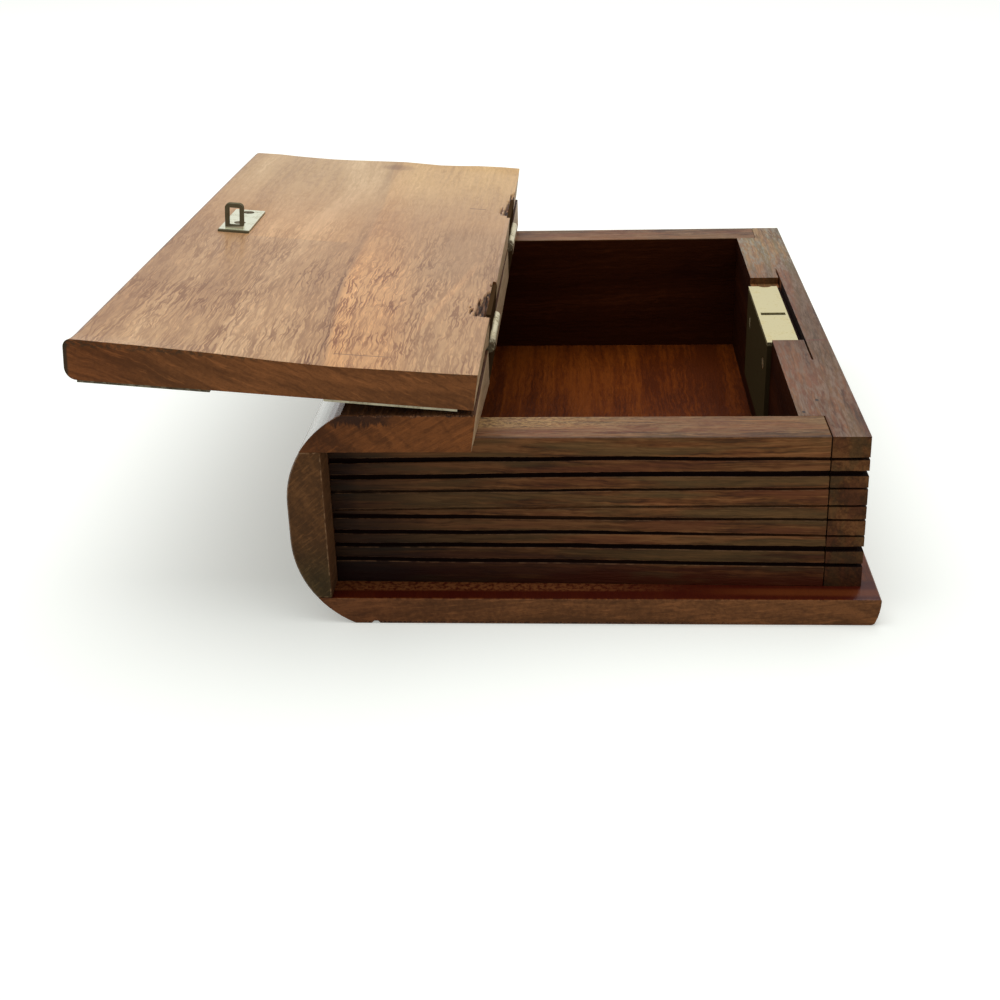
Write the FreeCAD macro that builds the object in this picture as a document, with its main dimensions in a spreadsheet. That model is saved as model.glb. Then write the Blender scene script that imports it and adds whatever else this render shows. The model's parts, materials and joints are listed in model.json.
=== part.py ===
# A wooden book box: a case made like a closed book, with its front cover hinged as a lid
# and a small half-mortise lock at the fore edge. Millimetres.
# +X runs from the spine to the fore edge, +Y from the head to the tail, +Z up.
# The origin is the middle of the base board's underside. The lid rests open, turned back on the spine.
import FreeCAD
import Part
import Sketcher
import os
import re

SIZES = {
    # The closed book
    "book_width": 133.0,
    "book_depth": 198.5,
    "book_height": 51.4,
    "cover_thickness": 8.6,
    "base_thickness": 6.6,
    "head_overhang": 8.2,
    "fore_overhang": 3.7,
    "cover_round_outside": 2.6,
    "cover_round_inside": 1.8,
    "base_roll": 14.0,
    "base_round_below": 1.2,
    "base_round_above": 0.6,
    "lid_clearance": 0.15,
    # The spine: flat in the middle, then an arc that comes in to each cover's face
    "spine_thickness": 8.5,
    "spine_flat": 9.0,
    "spine_inset": 13.5,
    # The page block
    "end_wall_thickness": 12.6,
    "fore_wall_thickness": 14.4,
    "rabbet_depth": 6.0,
    "page_margin_low": 4.9,
    "page_margin_high": 4.9,
    "page_line_wide": 1.1,
    "page_line_fine": 0.5,
    "page_line_depth": 1.2,
    # The hinges
    "strip_width": 43.0,
    "hinge_gap": 0.6,
    "axis_rise": 0.5,
    "open_lean_angle": 5.0,
    "hinge_length": 25.4,
    "front_hinge_inset": 56.0,
    "rear_hinge_inset": 50.5,
    "leaf_thickness": 1.1,
    "leaf_gap": 0.4,
    "leaf_margin": 0.8,
    "leaf_play": 0.1,
    "leaf_screw_spread": 13.0,
    "knuckle_radius": 1.2,
    "knuckle_play": 0.12,
    "barrel_room": 0.35,
    "hinge_pin_radius": 0.6,
    "pin_fit": 0.04,
    # The small countersunk screws
    "screw_head_radius": 1.6,
    "screw_radius": 0.8,
    "screw_length": 6.5,
    "screw_slot_width": 0.4,
    "screw_slot_depth": 0.4,
    "screw_fit": 0.03,
    # The lock
    "lock_length": 50.8,
    "lock_shift": 1.0,
    "lock_plate_thickness": 1.2,
    "selvedge_width": 8.2,
    "selvedge_sink": 0.7,
    "end_notch_radius": 2.0,
    "end_notch_depth": 1.1,
    "back_plate_height": 27.0,
    "lock_screw_spread": 35.2,
    "lock_screw_drop": 9.2,
    "slot_edge": 0.85,
    "slot_length": 6.7,
    "slot_width": 2.2,
    "case_front": 14.3,
    "case_rear": 9.0,
    "case_depth": 7.0,
    "case_height": 22.0,
    "case_wall": 0.6,
    "mortise_play": 0.25,
    "mortise_side_gap": 1.1,
    "mortise_overrun": 6.5,
    "saw_kerf": 0.5,
    "saw_depth": 6.0,
    "saw_overcut_front": 15.4,
    "saw_overcut_rear": 10.0,
    # The bolt and what guides it
    "bolt_travel": 4.5,
    "bolt_length": 11.7,
    "bolt_height": 6.0,
    "bolt_drop": 0.35,
    "bolt_side_play": 0.2,
    "nose_length": 4.3,
    "nose_height": 2.7,
    "nose_thickness": 2.2,
    "nose_gap": 0.6,
    "talon_land": 0.8,
    "talon_half": 1.6,
    "talon_radius": 1.9,
    "guide_radius": 0.8,
    "guide_fit": 0.1,
    "guide_wall": 0.8,
    "guide_drop": 1.75,
    "spring_thickness": 0.4,
    "spring_width": 2.5,
    "spring_radius": 4.5,
    "spring_reach": 4.4,
    "spring_gap": 0.1,
    # The key's way in
    "key_drop": 13.2,
    "key_post_radius": 1.0,
    "key_post_recess": 3.0,
    "keyhole_radius": 2.5,
    "keyhole_slot_width": 2.2,
    "keyhole_slot_drop": 6.0,
    # The staple on the lid
    "staple_thickness": 0.9,
    "staple_proud": 0.5,
    "staple_width": 8.4,
    "staple_front": 2.4,
    "staple_rear": 20.9,
    "staple_screw_place": 6.4,
    "staple_screw_spread": 11.7,
    "staple_play": 0.1,
    "loop_width": 5.0,
    "loop_height": 7.0,
    "loop_thickness": 1.5,
    "loop_bar": 1.0,
    "loop_tip": 1.1,
    "loop_hole_height": 4.9,
    "loop_round": 1.2,
    "loop_entry": 0.25,
    # The lid's corner plates and their pins
    "corner_leg": 29.0,
    "corner_band": 7.0,
    "corner_thickness": 0.6,
    "corner_hinge_inset": 4.0,
    "corner_edge_inset": 0.3,
    "corner_pin_inset": 3.5,
    "corner_pin_radius": 0.5,
    "corner_pin_length": 5.0,
    "corner_pin_head_radius": 1.1,
    "corner_pin_head_height": 0.3,
    "corner_pin_fit": 0.02,
}

# Places worked out from the sizes, with the lid closed.
PLACES = {
    "x_spine": "-book_width / 2",
    "x_fore": "book_width / 2",
    "y_tail": "book_depth / 2",
    "z_rim": "book_height - cover_thickness",
    "z_lid": "z_rim + lid_clearance",
    "x_pages": "x_fore - fore_overhang",
    "x_inside": "x_pages - fore_wall_thickness",
    "x_rabbet": "x_inside + rabbet_depth",
    "x_spine_inside": "x_spine + spine_thickness",
    "y_pages": "y_tail - head_overhang",
    "y_inside": "y_pages - end_wall_thickness",
    "page_span": "z_rim - base_thickness - page_margin_low - page_margin_high",
    "z_middle": "book_height / 2",
    "z_arc_low": "z_middle - spine_flat / 2",
    "z_arc_high": "z_middle + spine_flat / 2",
    "spine_radius": "(spine_inset ^ 2 + z_arc_low ^ 2) / (2 * spine_inset)",
    "x_spine_arc": "x_spine + spine_radius",
    "x_strip": "x_spine + strip_width",
    "x_axis": "x_strip + hinge_gap / 2",
    "x_lid": "x_strip + hinge_gap",
    "z_axis": "book_height + axis_rise",
    "y_front_hinge": "front_hinge_inset - y_tail",
    "y_rear_hinge": "y_tail - rear_hinge_inset",
    "leaf_face": "leaf_gap / 2",
    "leaf_back": "leaf_face + leaf_thickness",
    "barrel_reach": "knuckle_radius + barrel_room",
    "z_leaf_low": "z_rim + leaf_margin",
    "z_leaf_high": "z_axis - barrel_reach",
    "z_leaf_screw": "(z_leaf_low + z_leaf_high) / 2",
    "screw_head_height": "screw_head_radius - screw_radius",
    "x_back": "x_inside - lock_plate_thickness",
    "x_selvedge": "x_back + selvedge_width",
    "x_mortise": "x_selvedge + mortise_side_gap + saw_kerf",
    "z_selvedge": "z_rim - selvedge_sink",
    "z_seat": "z_selvedge - lock_plate_thickness",
    "y_lock_front": "lock_shift - lock_length / 2",
    "y_lock_rear": "lock_shift + lock_length / 2",
    "y_mortise_front": "y_lock_front - mortise_play",
    "y_mortise_rear": "y_lock_rear + mortise_overrun",
    "z_lock_screw": "z_rim - lock_screw_drop",
    "x_slot": "x_back + slot_edge",
    "x_case": "x_inside + case_depth",
    "z_case": "z_seat - case_height",
    "x_loop": "x_inside + loop_entry + loop_width / 2",
    "z_loop_root": "z_lid - staple_proud",
    "z_loop_tip": "z_loop_root - loop_height",
    "y_nose": "-(loop_thickness / 2 + nose_gap)",
    "y_bolt_tail": "y_nose - bolt_length",
    "z_bolt": "z_seat - bolt_drop",
    "z_bolt_low": "z_bolt - bolt_height",
    "guide_room": "guide_radius + guide_fit",
    "y_guide": "y_bolt_tail + guide_wall + bolt_travel + guide_room",
    "z_guide": "z_bolt - guide_drop",
    "z_spring": "z_bolt_low - spring_gap",
    "y_case_inside": "case_wall - case_front",
    "y_key": "y_nose - nose_length - talon_land - talon_half",
    "z_key": "z_rim - key_drop",
    "x_staple": "x_loop - staple_width / 2",
    "base_roll_rise": "base_thickness - base_round_above - base_round_below",
    "base_roll_reach": "sqrt((base_roll - base_round_below) ^ 2 - base_roll_rise ^ 2)",
    "base_roll_share": "base_roll / (base_roll - base_round_below)",
    "x_roll_centre": "x_fore - base_roll",
    "x_roll_foot": "x_roll_centre + base_roll_reach * base_roll_share",
    "z_roll_foot": "base_thickness - base_round_above - base_roll_rise * base_roll_share",
    "x_corner_fore": "x_fore - cover_round_outside",
    "x_corner_hinge": "x_lid + corner_hinge_inset",
    "y_corner": "y_tail - corner_edge_inset",
}

PAGE_LINES = 8
WIDE_PAGE_LINES = (0, 1, 3, 6)
KNUCKLES = 5
COUNTERSINK_ANGLE = 90.0
WORD = re.compile(r"[a-z_]+")
# How a sketch numbers the points of its items, and its own origin
START, END, CENTRE = 1, 2, 3
ORIGIN = (-1, START)

doc = FreeCAD.newDocument("BookBox")
sheet = doc.addObject("Spreadsheet::Sheet", "Sizes")
for row, (alias, size) in enumerate(SIZES.items(), start=1):
    sheet.set("A%d" % row, alias)
    sheet.set("B%d" % row, str(size))
    sheet.setAlias("B%d" % row, alias)
doc.recompute()


def formula(text):
    """The expression for a text in which sizes and places are named."""
    def named(found):
        word = found.group(0)
        if word in PLACES:
            return "(" + formula(PLACES[word]) + ")"
        return "Sizes." + word if word in SIZES else word
    return WORD.sub(named, text)


def number(text):
    """What that expression comes to with the sizes as they are."""
    return float(sheet.evalExpression(formula(text)))


def new_body(label):
    body = doc.addObject("PartDesign::Body", label)
    body.Label = label
    return body


def sketch_on(body, plane, level="0"):
    """A sketch across the axis that the plane leaves out, at a level along that axis."""
    origin_plane = next(item for item in body.Origin.OriginFeatures if item.Role == plane + "_Plane")
    sketch = body.newObject("Sketcher::SketchObject", body.Label + "_sketch")
    sketch.AttachmentSupport = [(origin_plane, "")]
    sketch.MapMode = "FlatFace"
    along = "-(%s)" if plane == "XZ" else "(%s)"
    sketch.setExpression("AttachmentOffset.Base.z", formula(along % level))
    return sketch


def bind(sketch, kind, places, text):
    """A constraint whose value follows an expression."""
    index = sketch.addConstraint(Sketcher.Constraint(kind, *places, number(text)))
    sketch.setExpression("Constraints[%d]" % index, formula(text))


def pin_point(sketch, item, end, across, up):
    bind(sketch, "DistanceX", ORIGIN + (item, end), across)
    bind(sketch, "DistanceY", ORIGIN + (item, end), up)


def arc_middle(start, end, radius, side):
    """The middle of the shorter arc from start to end. Its centre is on the left for side 1."""
    chord = end - start
    left = FreeCAD.Vector(-chord.y, chord.x, 0).normalize()
    height = (radius ** 2 - (chord.Length / 2) ** 2) ** 0.5
    return (start + end) / 2 + left * side * (height - radius)


def outline(sketch, corners):
    """A closed outline. A corner is (across, up), with (radius, side) added where an arc leaves it."""
    spots = [FreeCAD.Vector(number(across), number(up), 0) for across, up, *_ in corners]
    items = []
    firsts = []
    lasts = []
    for (_, _, *arc), start, end in zip(corners, spots, spots[1:] + spots[:1]):
        if arc:
            radius, side = arc
            shape = Part.Arc(start, arc_middle(start, end, number(radius), side), end)
        else:
            shape = Part.LineSegment(start, end)
        item = sketch.addGeometry(shape)
        nearer = min((START, END), key=lambda point: sketch.getPoint(item, point).distanceToPoint(start))
        items.append(item)
        firsts.append(nearer)
        lasts.append(END if nearer == START else START)
    for place, (across, up, *arc) in enumerate(corners):
        before = place - 1
        sketch.addConstraint(Sketcher.Constraint(
            "Coincident", items[before], lasts[before], items[place], firsts[place]))
        pin_point(sketch, items[place], firsts[place], across, up)
        if arc:
            bind(sketch, "Radius", (items[place],), arc[0])
    return sketch


def rectangle(sketch, left, right, low, high):
    return outline(sketch, [(left, low), (right, low), (right, high), (left, high)])


def circle(sketch, across, up, radius):
    centre = FreeCAD.Vector(number(across), number(up), 0)
    item = sketch.addGeometry(Part.Circle(centre, FreeCAD.Vector(0, 0, 1), number(radius)))
    pin_point(sketch, item, CENTRE, across, up)
    bind(sketch, "Radius", (item,), radius)
    return sketch


def extrude(body, kind, sketch, length=None, symmetric=False, reverse=False):
    """A Pad or Pocket of the sketch, right through where no length is given."""
    feature = body.newObject("PartDesign::" + kind, body.Label + "_" + kind.lower())
    feature.Profile = sketch
    feature.SideType = "Symmetric" if symmetric else "One side"
    feature.Reversed = reverse
    if length is None:
        feature.Type = "ThroughAll"
    else:
        feature.setExpression("Length", formula(length))
    return feature


def pad(body, sketch, length, symmetric=False, reverse=False):
    return extrude(body, "Pad", sketch, length, symmetric, reverse)


def pocket(body, sketch, length, reverse=False):
    return extrude(body, "Pocket", sketch, length, False, reverse)


def cut_through(body, sketch):
    return extrude(body, "Pocket", sketch, None, True)


def slide_copies(body, feature, axis, step, count):
    """The feature again, step by step along an axis of the body."""
    pattern = body.newObject("PartDesign::LinearPattern", body.Label + "_pattern")
    pattern.Originals = [feature]
    origin_axis = next(item for item in body.Origin.OriginFeatures if item.Role == axis + "_Axis")
    pattern.Direction = (origin_axis, [""])
    pattern.Occurrences = count
    pattern.setExpression("Length", formula("(%s) * %d" % (step, count - 1)))
    body.Tip = pattern
    return pattern


def countersink(body, sketch, reverse):
    """Countersunk holes for the small screws, at the sketch's circles."""
    doc.recompute()
    hole = body.newObject("PartDesign::Hole", body.Label + "_hole")
    hole.Profile = sketch
    hole.Reversed = reverse
    hole.DepthType = "ThroughAll"
    hole.HoleCutType = "Countersink"
    hole.HoleCutCustomValues = True
    hole.HoleCutCountersinkAngle = COUNTERSINK_ANGLE
    hole.setExpression("Diameter", formula("2 * (screw_radius + screw_fit)"))
    hole.setExpression("HoleCutDiameter", formula("2 * (screw_head_radius + screw_fit)"))
    return hole


def turn_with_lid(piece):
    """Turns a piece drawn with the lid closed back about the hinge axis to the lid's rest."""
    centre = "vector(%s; 0; %s)" % (formula("x_axis"), formula("z_axis"))
    turn = "rotation(vector(0; 1; 0); %s)" % formula("open_lean_angle - 180")
    piece.setExpression("Placement", "placement(vector(0; 0; 0); %s; %s)" % (turn, centre))


def copies(label, master, places, facing):
    """One group of copies of a master, whose own +Z faces the way given, at places (x, y, z)."""
    links = []
    turn = FreeCAD.Rotation(FreeCAD.Vector(0, 0, 1), FreeCAD.Vector(*facing))
    for place in places:
        link = doc.addObject("App::Link", label + "_copy")
        link.LinkedObject = master
        link.Placement = FreeCAD.Placement(FreeCAD.Vector(), turn)
        for axis, text in zip("xyz", place):
            link.setExpression("Placement.Base." + axis, formula(text))
        links.append(link)
    group = doc.addObject("Part::Compound", label)
    group.Label = label
    group.Links = links
    return group


# Base board
def base_board():
    """The bottom cover: the spine's arc at one end, and a fore edge that rolls in to a small round."""
    body = new_body("base_board")
    arc_start = "x_spine_arc - sqrt(spine_radius ^ 2 - (z_arc_low - base_thickness) ^ 2)"
    section = outline(sketch_on(body, "XZ"), [
        (arc_start, "base_thickness", "spine_radius", 1),
        ("x_spine + spine_inset", "0"),
        ("x_roll_centre + base_roll_reach", "0", "base_round_below", 1),
        ("x_roll_foot", "z_roll_foot", "base_roll", 1),
        ("x_fore", "base_thickness - base_round_above", "base_round_above", 1),
        ("x_fore - base_round_above", "base_thickness"),
    ])
    pad(body, section, "book_depth", symmetric=True)
    return body


# Page block
def page_lines(sketch, face, inward):
    """The saw-cut page lines as slots up a face, each cut from just outside it."""
    for line in range(PAGE_LINES):
        half = "page_line_%s / 2" % ("wide" if line in WIDE_PAGE_LINES else "fine")
        middle = "base_thickness + page_margin_low + page_span * %d / %d" % (line, PAGE_LINES - 1)
        deep = "%s %s page_line_depth" % (face, inward)
        beyond = "%s %s -page_line_depth" % (face, inward)
        rectangle(sketch, deep, beyond, "%s - %s" % (middle, half), "%s + %s" % (middle, half))
    return sketch


def end_wall(label, side):
    """The head or tail of the page block, between the spine and the fore-edge wall's rabbet."""
    body = new_body(label)
    plan = rectangle(sketch_on(body, "XY", "base_thickness"),
                     "x_spine_inside", "x_rabbet", side + "y_inside", side + "y_pages")
    pad(body, plan, "z_rim - base_thickness")
    inward = "+" if side == "-" else "-"
    cut_through(body, page_lines(sketch_on(body, "YZ"), side + "y_pages", inward))
    return body


def fore_edge_wall():
    """The thick fore-edge wall: rabbeted ends, page lines on three faces and the lock's mortise."""
    body = new_body("fore_edge_wall")
    plan = outline(sketch_on(body, "XY", "base_thickness"), [
        ("x_pages", "-y_pages"), ("x_pages", "y_pages"),
        ("x_rabbet", "y_pages"), ("x_rabbet", "y_inside"),
        ("x_inside", "y_inside"), ("x_inside", "-y_inside"),
        ("x_rabbet", "-y_inside"), ("x_rabbet", "-y_pages"),
    ])
    pad(body, plan, "z_rim - base_thickness")
    cut_through(body, page_lines(sketch_on(body, "XZ"), "x_pages", "-"))
    cut_through(body, page_lines(sketch_on(body, "YZ"), "-y_pages", "+"))
    cut_through(body, page_lines(sketch_on(body, "YZ"), "y_pages", "-"))
    seat = rectangle(sketch_on(body, "XY", "z_rim"),
                     "x_inside", "x_mortise", "y_mortise_front", "y_mortise_rear")
    pocket(body, seat, "z_rim - z_seat")
    case = rectangle(sketch_on(body, "XY", "z_rim"), "x_inside", "x_case + mortise_play",
                     "-case_front - mortise_play", "case_rear + mortise_play")
    pocket(body, case, "z_rim - z_case + mortise_play")
    saw_cut = outline(sketch_on(body, "YZ", "x_mortise"), [
        ("y_mortise_front - saw_overcut_front", "z_rim"), ("y_mortise_front", "z_rim - saw_depth"),
        ("y_mortise_rear", "z_rim - saw_depth"), ("y_mortise_rear + saw_overcut_rear", "z_rim"),
    ])
    pocket(body, saw_cut, "saw_kerf")
    round_hole = circle(sketch_on(body, "YZ", "x_pages"), "y_key", "z_key", "keyhole_radius")
    pocket(body, round_hole, "x_pages - x_case")
    bit_slot = rectangle(sketch_on(body, "YZ", "x_pages"),
                         "y_key - keyhole_slot_width / 2", "y_key + keyhole_slot_width / 2",
                         "z_key - keyhole_slot_drop", "z_key")
    pocket(body, bit_slot, "x_pages - x_case")
    screw_holes = sketch_on(body, "YZ", "x_inside")
    for place in lock_screw_places():
        circle(screw_holes, place, "z_lock_screw", "screw_radius + screw_fit")
    pocket(body, screw_holes, "screw_length", reverse=True)
    return body


# Spine and hinge strip
def spine_board():
    """The rounded spine, which closes the box's fourth side between the two covers."""
    body = new_body("spine_board")
    section = outline(sketch_on(body, "XZ"), [
        ("x_spine_arc - sqrt(spine_radius ^ 2 - (z_rim - z_arc_high) ^ 2)", "z_rim", "spine_radius", 1),
        ("x_spine", "z_arc_high"),
        ("x_spine", "z_arc_low", "spine_radius", 1),
        ("x_spine_arc - sqrt(spine_radius ^ 2 - (z_arc_low - base_thickness) ^ 2)", "base_thickness"),
        ("x_spine_inside", "base_thickness"),
        ("x_spine_inside", "z_rim"),
    ])
    pad(body, section, "book_depth", symmetric=True)
    return body


def hinge_edge(body, out):
    """Mortises for the leaves, room for the barrels and holes for the screws in a cover's edge."""
    edge = "x_axis %s hinge_gap / 2" % out
    beyond = "x_axis %s -hinge_gap / 2" % out
    leaves = sketch_on(body, "XY")
    barrels = sketch_on(body, "XY", "z_axis")
    screws = sketch_on(body, "YZ", edge)
    for middle in ("y_front_hinge", "y_rear_hinge"):
        low = middle + " - hinge_length / 2 - leaf_play"
        high = middle + " + hinge_length / 2 + leaf_play"
        rectangle(leaves, "x_axis %s leaf_back" % out, beyond, low, high)
        rectangle(barrels, "x_axis %s barrel_reach" % out, beyond, low, high)
        for place in leaf_screw_places(middle):
            circle(screws, place, "z_leaf_screw", "screw_radius + screw_fit")
    cut_through(body, leaves)
    pocket(body, barrels, "barrel_reach")
    pocket(body, screws, "leaf_face + screw_length - hinge_gap / 2", reverse=out == "+")


def hinge_strip():
    """The fixed part of the top cover, from the spine to the hinges."""
    body = new_body("hinge_strip")
    section = outline(sketch_on(body, "XZ"), [
        ("x_spine + spine_inset", "book_height", "spine_radius", 1),
        ("x_spine_arc - sqrt(spine_radius ^ 2 - (z_rim - z_arc_high) ^ 2)", "z_rim"),
        ("x_strip", "z_rim"),
        ("x_strip", "book_height"),
    ])
    pad(body, section, "book_depth", symmetric=True)
    hinge_edge(body, "-")
    return body


# Lid
def lid_board():
    """The turning cover: rounded fore edge, hinge mortises, the staple's bed and the pins' holes."""
    body = new_body("lid_board")
    section = outline(sketch_on(body, "XZ"), [
        ("x_lid", "z_lid"),
        ("x_fore - cover_round_inside", "z_lid", "cover_round_inside", 1),
        ("x_fore", "z_lid + cover_round_inside"),
        ("x_fore", "book_height - cover_round_outside", "cover_round_outside", 1),
        ("x_fore - cover_round_outside", "book_height"),
        ("x_lid", "book_height"),
    ])
    pad(body, section, "book_depth", symmetric=True)
    hinge_edge(body, "+")
    bed = rectangle(sketch_on(body, "XY", "z_lid"),
                    "x_staple - staple_play", "x_staple + staple_width + staple_play",
                    "-staple_front - staple_play", "staple_rear + staple_play")
    pocket(body, bed, "staple_thickness - staple_proud", reverse=True)
    screw_holes = sketch_on(body, "XY", "z_loop_root")
    for place in staple_screw_places():
        circle(screw_holes, "x_loop", place, "screw_radius + screw_fit")
    pocket(body, screw_holes, "screw_length", reverse=True)
    pin_holes = sketch_on(body, "XY", "book_height")
    for corner in CORNERS.values():
        for across, along in corner_pin_places(*corner):
            circle(pin_holes, across, along, "corner_pin_radius + corner_pin_fit")
    pocket(body, pin_holes, "corner_pin_length - corner_thickness")
    turn_with_lid(body)
    return body


# Hinges
def leaf_screw_places(middle):
    return [middle + " - leaf_screw_spread / 2", middle + " + leaf_screw_spread / 2"]


def hinge_leaf(label, middle, out, first_knuckle):
    """A leaf let into a cover's edge: a plate, and every other knuckle of the barrel."""
    body = new_body(label)
    face = "x_axis %s leaf_face" % out
    back = "x_axis %s leaf_back" % out
    pitch = "hinge_length / %d" % KNUCKLES
    start = "%s - hinge_length / 2 + %s * %d + knuckle_play / 2" % (middle, pitch, first_knuckle)
    count = len(range(first_knuckle, KNUCKLES, 2))
    plate = rectangle(sketch_on(body, "XZ", middle), back, face, "z_leaf_low", "z_leaf_high")
    pad(body, plate, "hinge_length", symmetric=True)
    neck = rectangle(sketch_on(body, "XZ", start), back, face, "z_leaf_high", "z_axis")
    necks = pad(body, neck, pitch + " - knuckle_play", reverse=True)
    slide_copies(body, necks, "Y", pitch + " * 2", count)
    knuckle = circle(sketch_on(body, "XZ", start), "x_axis", "z_axis", "knuckle_radius")
    knuckles = pad(body, knuckle, pitch + " - knuckle_play", reverse=True)
    slide_copies(body, knuckles, "Y", pitch + " * 2", count)
    bore = circle(sketch_on(body, "XZ", middle), "x_axis", "z_axis", "hinge_pin_radius + pin_fit")
    cut_through(body, bore)
    screws = sketch_on(body, "YZ", face)
    for place in leaf_screw_places(middle):
        circle(screws, place, "z_leaf_screw", "screw_radius")
    countersink(body, screws, out == "+")
    return body


def hinge_pin(label, middle):
    body = new_body(label)
    section = circle(sketch_on(body, "XZ", middle), "x_axis", "z_axis", "hinge_pin_radius")
    pad(body, section, "hinge_length", symmetric=True)
    return body


def screw():
    """A small countersunk wood screw, its head's face at its own z 0 and its point below."""
    body = new_body("screw")
    section = outline(sketch_on(body, "XZ"), [
        ("0", "0"), ("0", "-screw_length"), ("screw_radius", "-screw_length + screw_radius"),
        ("screw_radius", "-screw_head_height"), ("screw_head_radius", "0"),
    ])
    turned = body.newObject("PartDesign::Revolution", "screw_revolution")
    turned.Profile = section
    turned.ReferenceAxis = (section, ["V_Axis"])
    slot = rectangle(sketch_on(body, "XY"), "-screw_head_radius", "screw_head_radius",
                     "-screw_slot_width / 2", "screw_slot_width / 2")
    pocket(body, slot, "screw_slot_depth")
    return body


# Lock
def lock_screw_places():
    return ["lock_shift - lock_screw_spread / 2", "lock_shift + lock_screw_spread / 2"]


def lock_plate():
    """The selvedge on the rim, bent down into the back plate, with the staple's slot across it."""
    body = new_body("lock_plate")
    section = outline(sketch_on(body, "XZ", "lock_shift"), [
        ("x_back", "z_selvedge - back_plate_height"), ("x_inside", "z_selvedge - back_plate_height"),
        ("x_inside", "z_seat"), ("x_selvedge", "z_seat"), ("x_selvedge", "z_selvedge"),
        ("x_back", "z_selvedge"),
    ])
    pad(body, section, "lock_length", symmetric=True)
    slot = rectangle(sketch_on(body, "XY", "z_selvedge"), "x_slot", "x_slot + slot_length",
                     "-slot_width / 2", "slot_width / 2")
    pocket(body, slot, "lock_plate_thickness")
    notch_middle = "(x_inside + x_selvedge) / 2"
    notch = circle(sketch_on(body, "XY", "z_selvedge"), notch_middle,
                   "y_lock_rear + end_notch_radius - end_notch_depth", "end_notch_radius")
    pocket(body, notch, "lock_plate_thickness")
    screws = sketch_on(body, "YZ", "x_back")
    for place in lock_screw_places():
        circle(screws, place, "z_lock_screw", "screw_radius")
    countersink(body, screws, True)
    return body


def lock_case():
    """The lock's cap in the mortise: a tray that the selvedge and the back plate close."""
    body = new_body("lock_case")
    block = rectangle(sketch_on(body, "XY", "z_case"), "x_inside", "x_case", "-case_front", "case_rear")
    pad(body, block, "z_seat - z_case")
    hollow = rectangle(sketch_on(body, "XY", "z_seat"), "x_inside", "x_case - case_wall",
                       "y_case_inside", "case_rear - case_wall")
    pocket(body, hollow, "z_seat - z_case - case_wall")
    keyhole = circle(sketch_on(body, "YZ", "x_case"), "y_key", "z_key", "keyhole_radius")
    pocket(body, keyhole, "case_wall")
    bit_slot = rectangle(sketch_on(body, "YZ", "x_case"),
                         "y_key - keyhole_slot_width / 2", "y_key + keyhole_slot_width / 2",
                         "z_key - keyhole_slot_drop", "z_key")
    pocket(body, bit_slot, "case_wall")
    return body


def lock_bolt():
    """The sliding bolt: a nose for the staple, a slot for its guide and a talon for the key."""
    body = new_body("lock_bolt")
    back = "x_inside + bolt_side_play"
    front = "x_loop + nose_thickness / 2"
    shoulder = "y_nose - nose_length"
    side = outline(sketch_on(body, "YZ", back), [
        ("y_bolt_tail", "z_bolt_low"),
        ("y_key - talon_half", "z_bolt_low", "talon_radius", -1),
        ("y_key + talon_half", "z_bolt_low"),
        (shoulder, "z_bolt_low"), (shoulder, "z_bolt - nose_height"),
        ("y_nose", "z_bolt - nose_height"), ("y_nose", "z_bolt"), ("y_bolt_tail", "z_bolt"),
    ])
    pad(body, side, "%s - (%s)" % (front, back))
    nose_side = rectangle(sketch_on(body, "YZ", "x_loop - nose_thickness / 2"),
                          shoulder, "y_nose + nose_gap", "z_bolt_low", "z_bolt + bolt_drop")
    pocket(body, nose_side, "%s - nose_thickness - (%s)" % (front, back))
    guide_slot = outline(sketch_on(body, "YZ"), [
        ("y_guide - bolt_travel", "z_guide - guide_room"),
        ("y_guide", "z_guide - guide_room", "guide_room", 1),
        ("y_guide + guide_room", "z_guide", "guide_room", 1),
        ("y_guide", "z_guide + guide_room"),
        ("y_guide - bolt_travel", "z_guide + guide_room", "guide_room", 1),
        ("y_guide - bolt_travel - guide_room", "z_guide", "guide_room", 1),
    ])
    cut_through(body, guide_slot)
    return body


def bolt_guide():
    """The stump on the back plate that stands in the bolt's slot."""
    body = new_body("bolt_guide")
    end = circle(sketch_on(body, "YZ", "x_inside"), "y_guide", "z_guide", "guide_radius")
    pad(body, end, "x_loop + nose_thickness / 2 + guide_wall - x_inside")
    return body


def bolt_spring():
    """A bowed leaf spring that bears up under the bolt's tail from the case's end."""
    body = new_body("bolt_spring")
    outer_sag = "spring_radius - sqrt(spring_radius ^ 2 - (spring_reach / 2) ^ 2)"
    inner = "spring_radius - spring_thickness"
    inner_sag = "%s - sqrt((%s) ^ 2 - (spring_reach / 2) ^ 2)" % (inner, inner)
    low_outer = "z_spring - (%s)" % outer_sag
    low_inner = "z_spring - spring_thickness - (%s)" % inner_sag
    bow = outline(sketch_on(body, "YZ", "x_inside + bolt_side_play"), [
        ("y_case_inside + spring_reach", low_outer, "spring_radius", 1),
        ("y_case_inside", low_outer),
        ("y_case_inside", low_inner, inner, -1),
        ("y_case_inside + spring_reach", low_inner),
    ])
    pad(body, bow, "spring_width")
    return body


def key_post():
    """The pin that a hollow key slides over, from the back plate out into the keyhole."""
    body = new_body("key_post")
    end = circle(sketch_on(body, "YZ", "x_inside"), "y_key", "z_key", "key_post_radius")
    pad(body, end, "x_pages - key_post_recess - x_inside")
    return body


# Staple
def staple_screw_places():
    return ["staple_screw_place", "staple_screw_place + staple_screw_spread"]


def staple_plate():
    """The staple's plate, let into the lid's inner face and a little proud of it."""
    body = new_body("staple_plate")
    plan = rectangle(sketch_on(body, "XY", "z_loop_root"), "x_staple", "x_staple + staple_width",
                     "-staple_front", "staple_rear")
    pad(body, plan, "staple_thickness")
    screws = sketch_on(body, "XY", "z_loop_root")
    for place in staple_screw_places():
        circle(screws, "x_loop", place, "screw_radius")
    countersink(body, screws, True)
    turn_with_lid(body)
    return body


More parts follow.
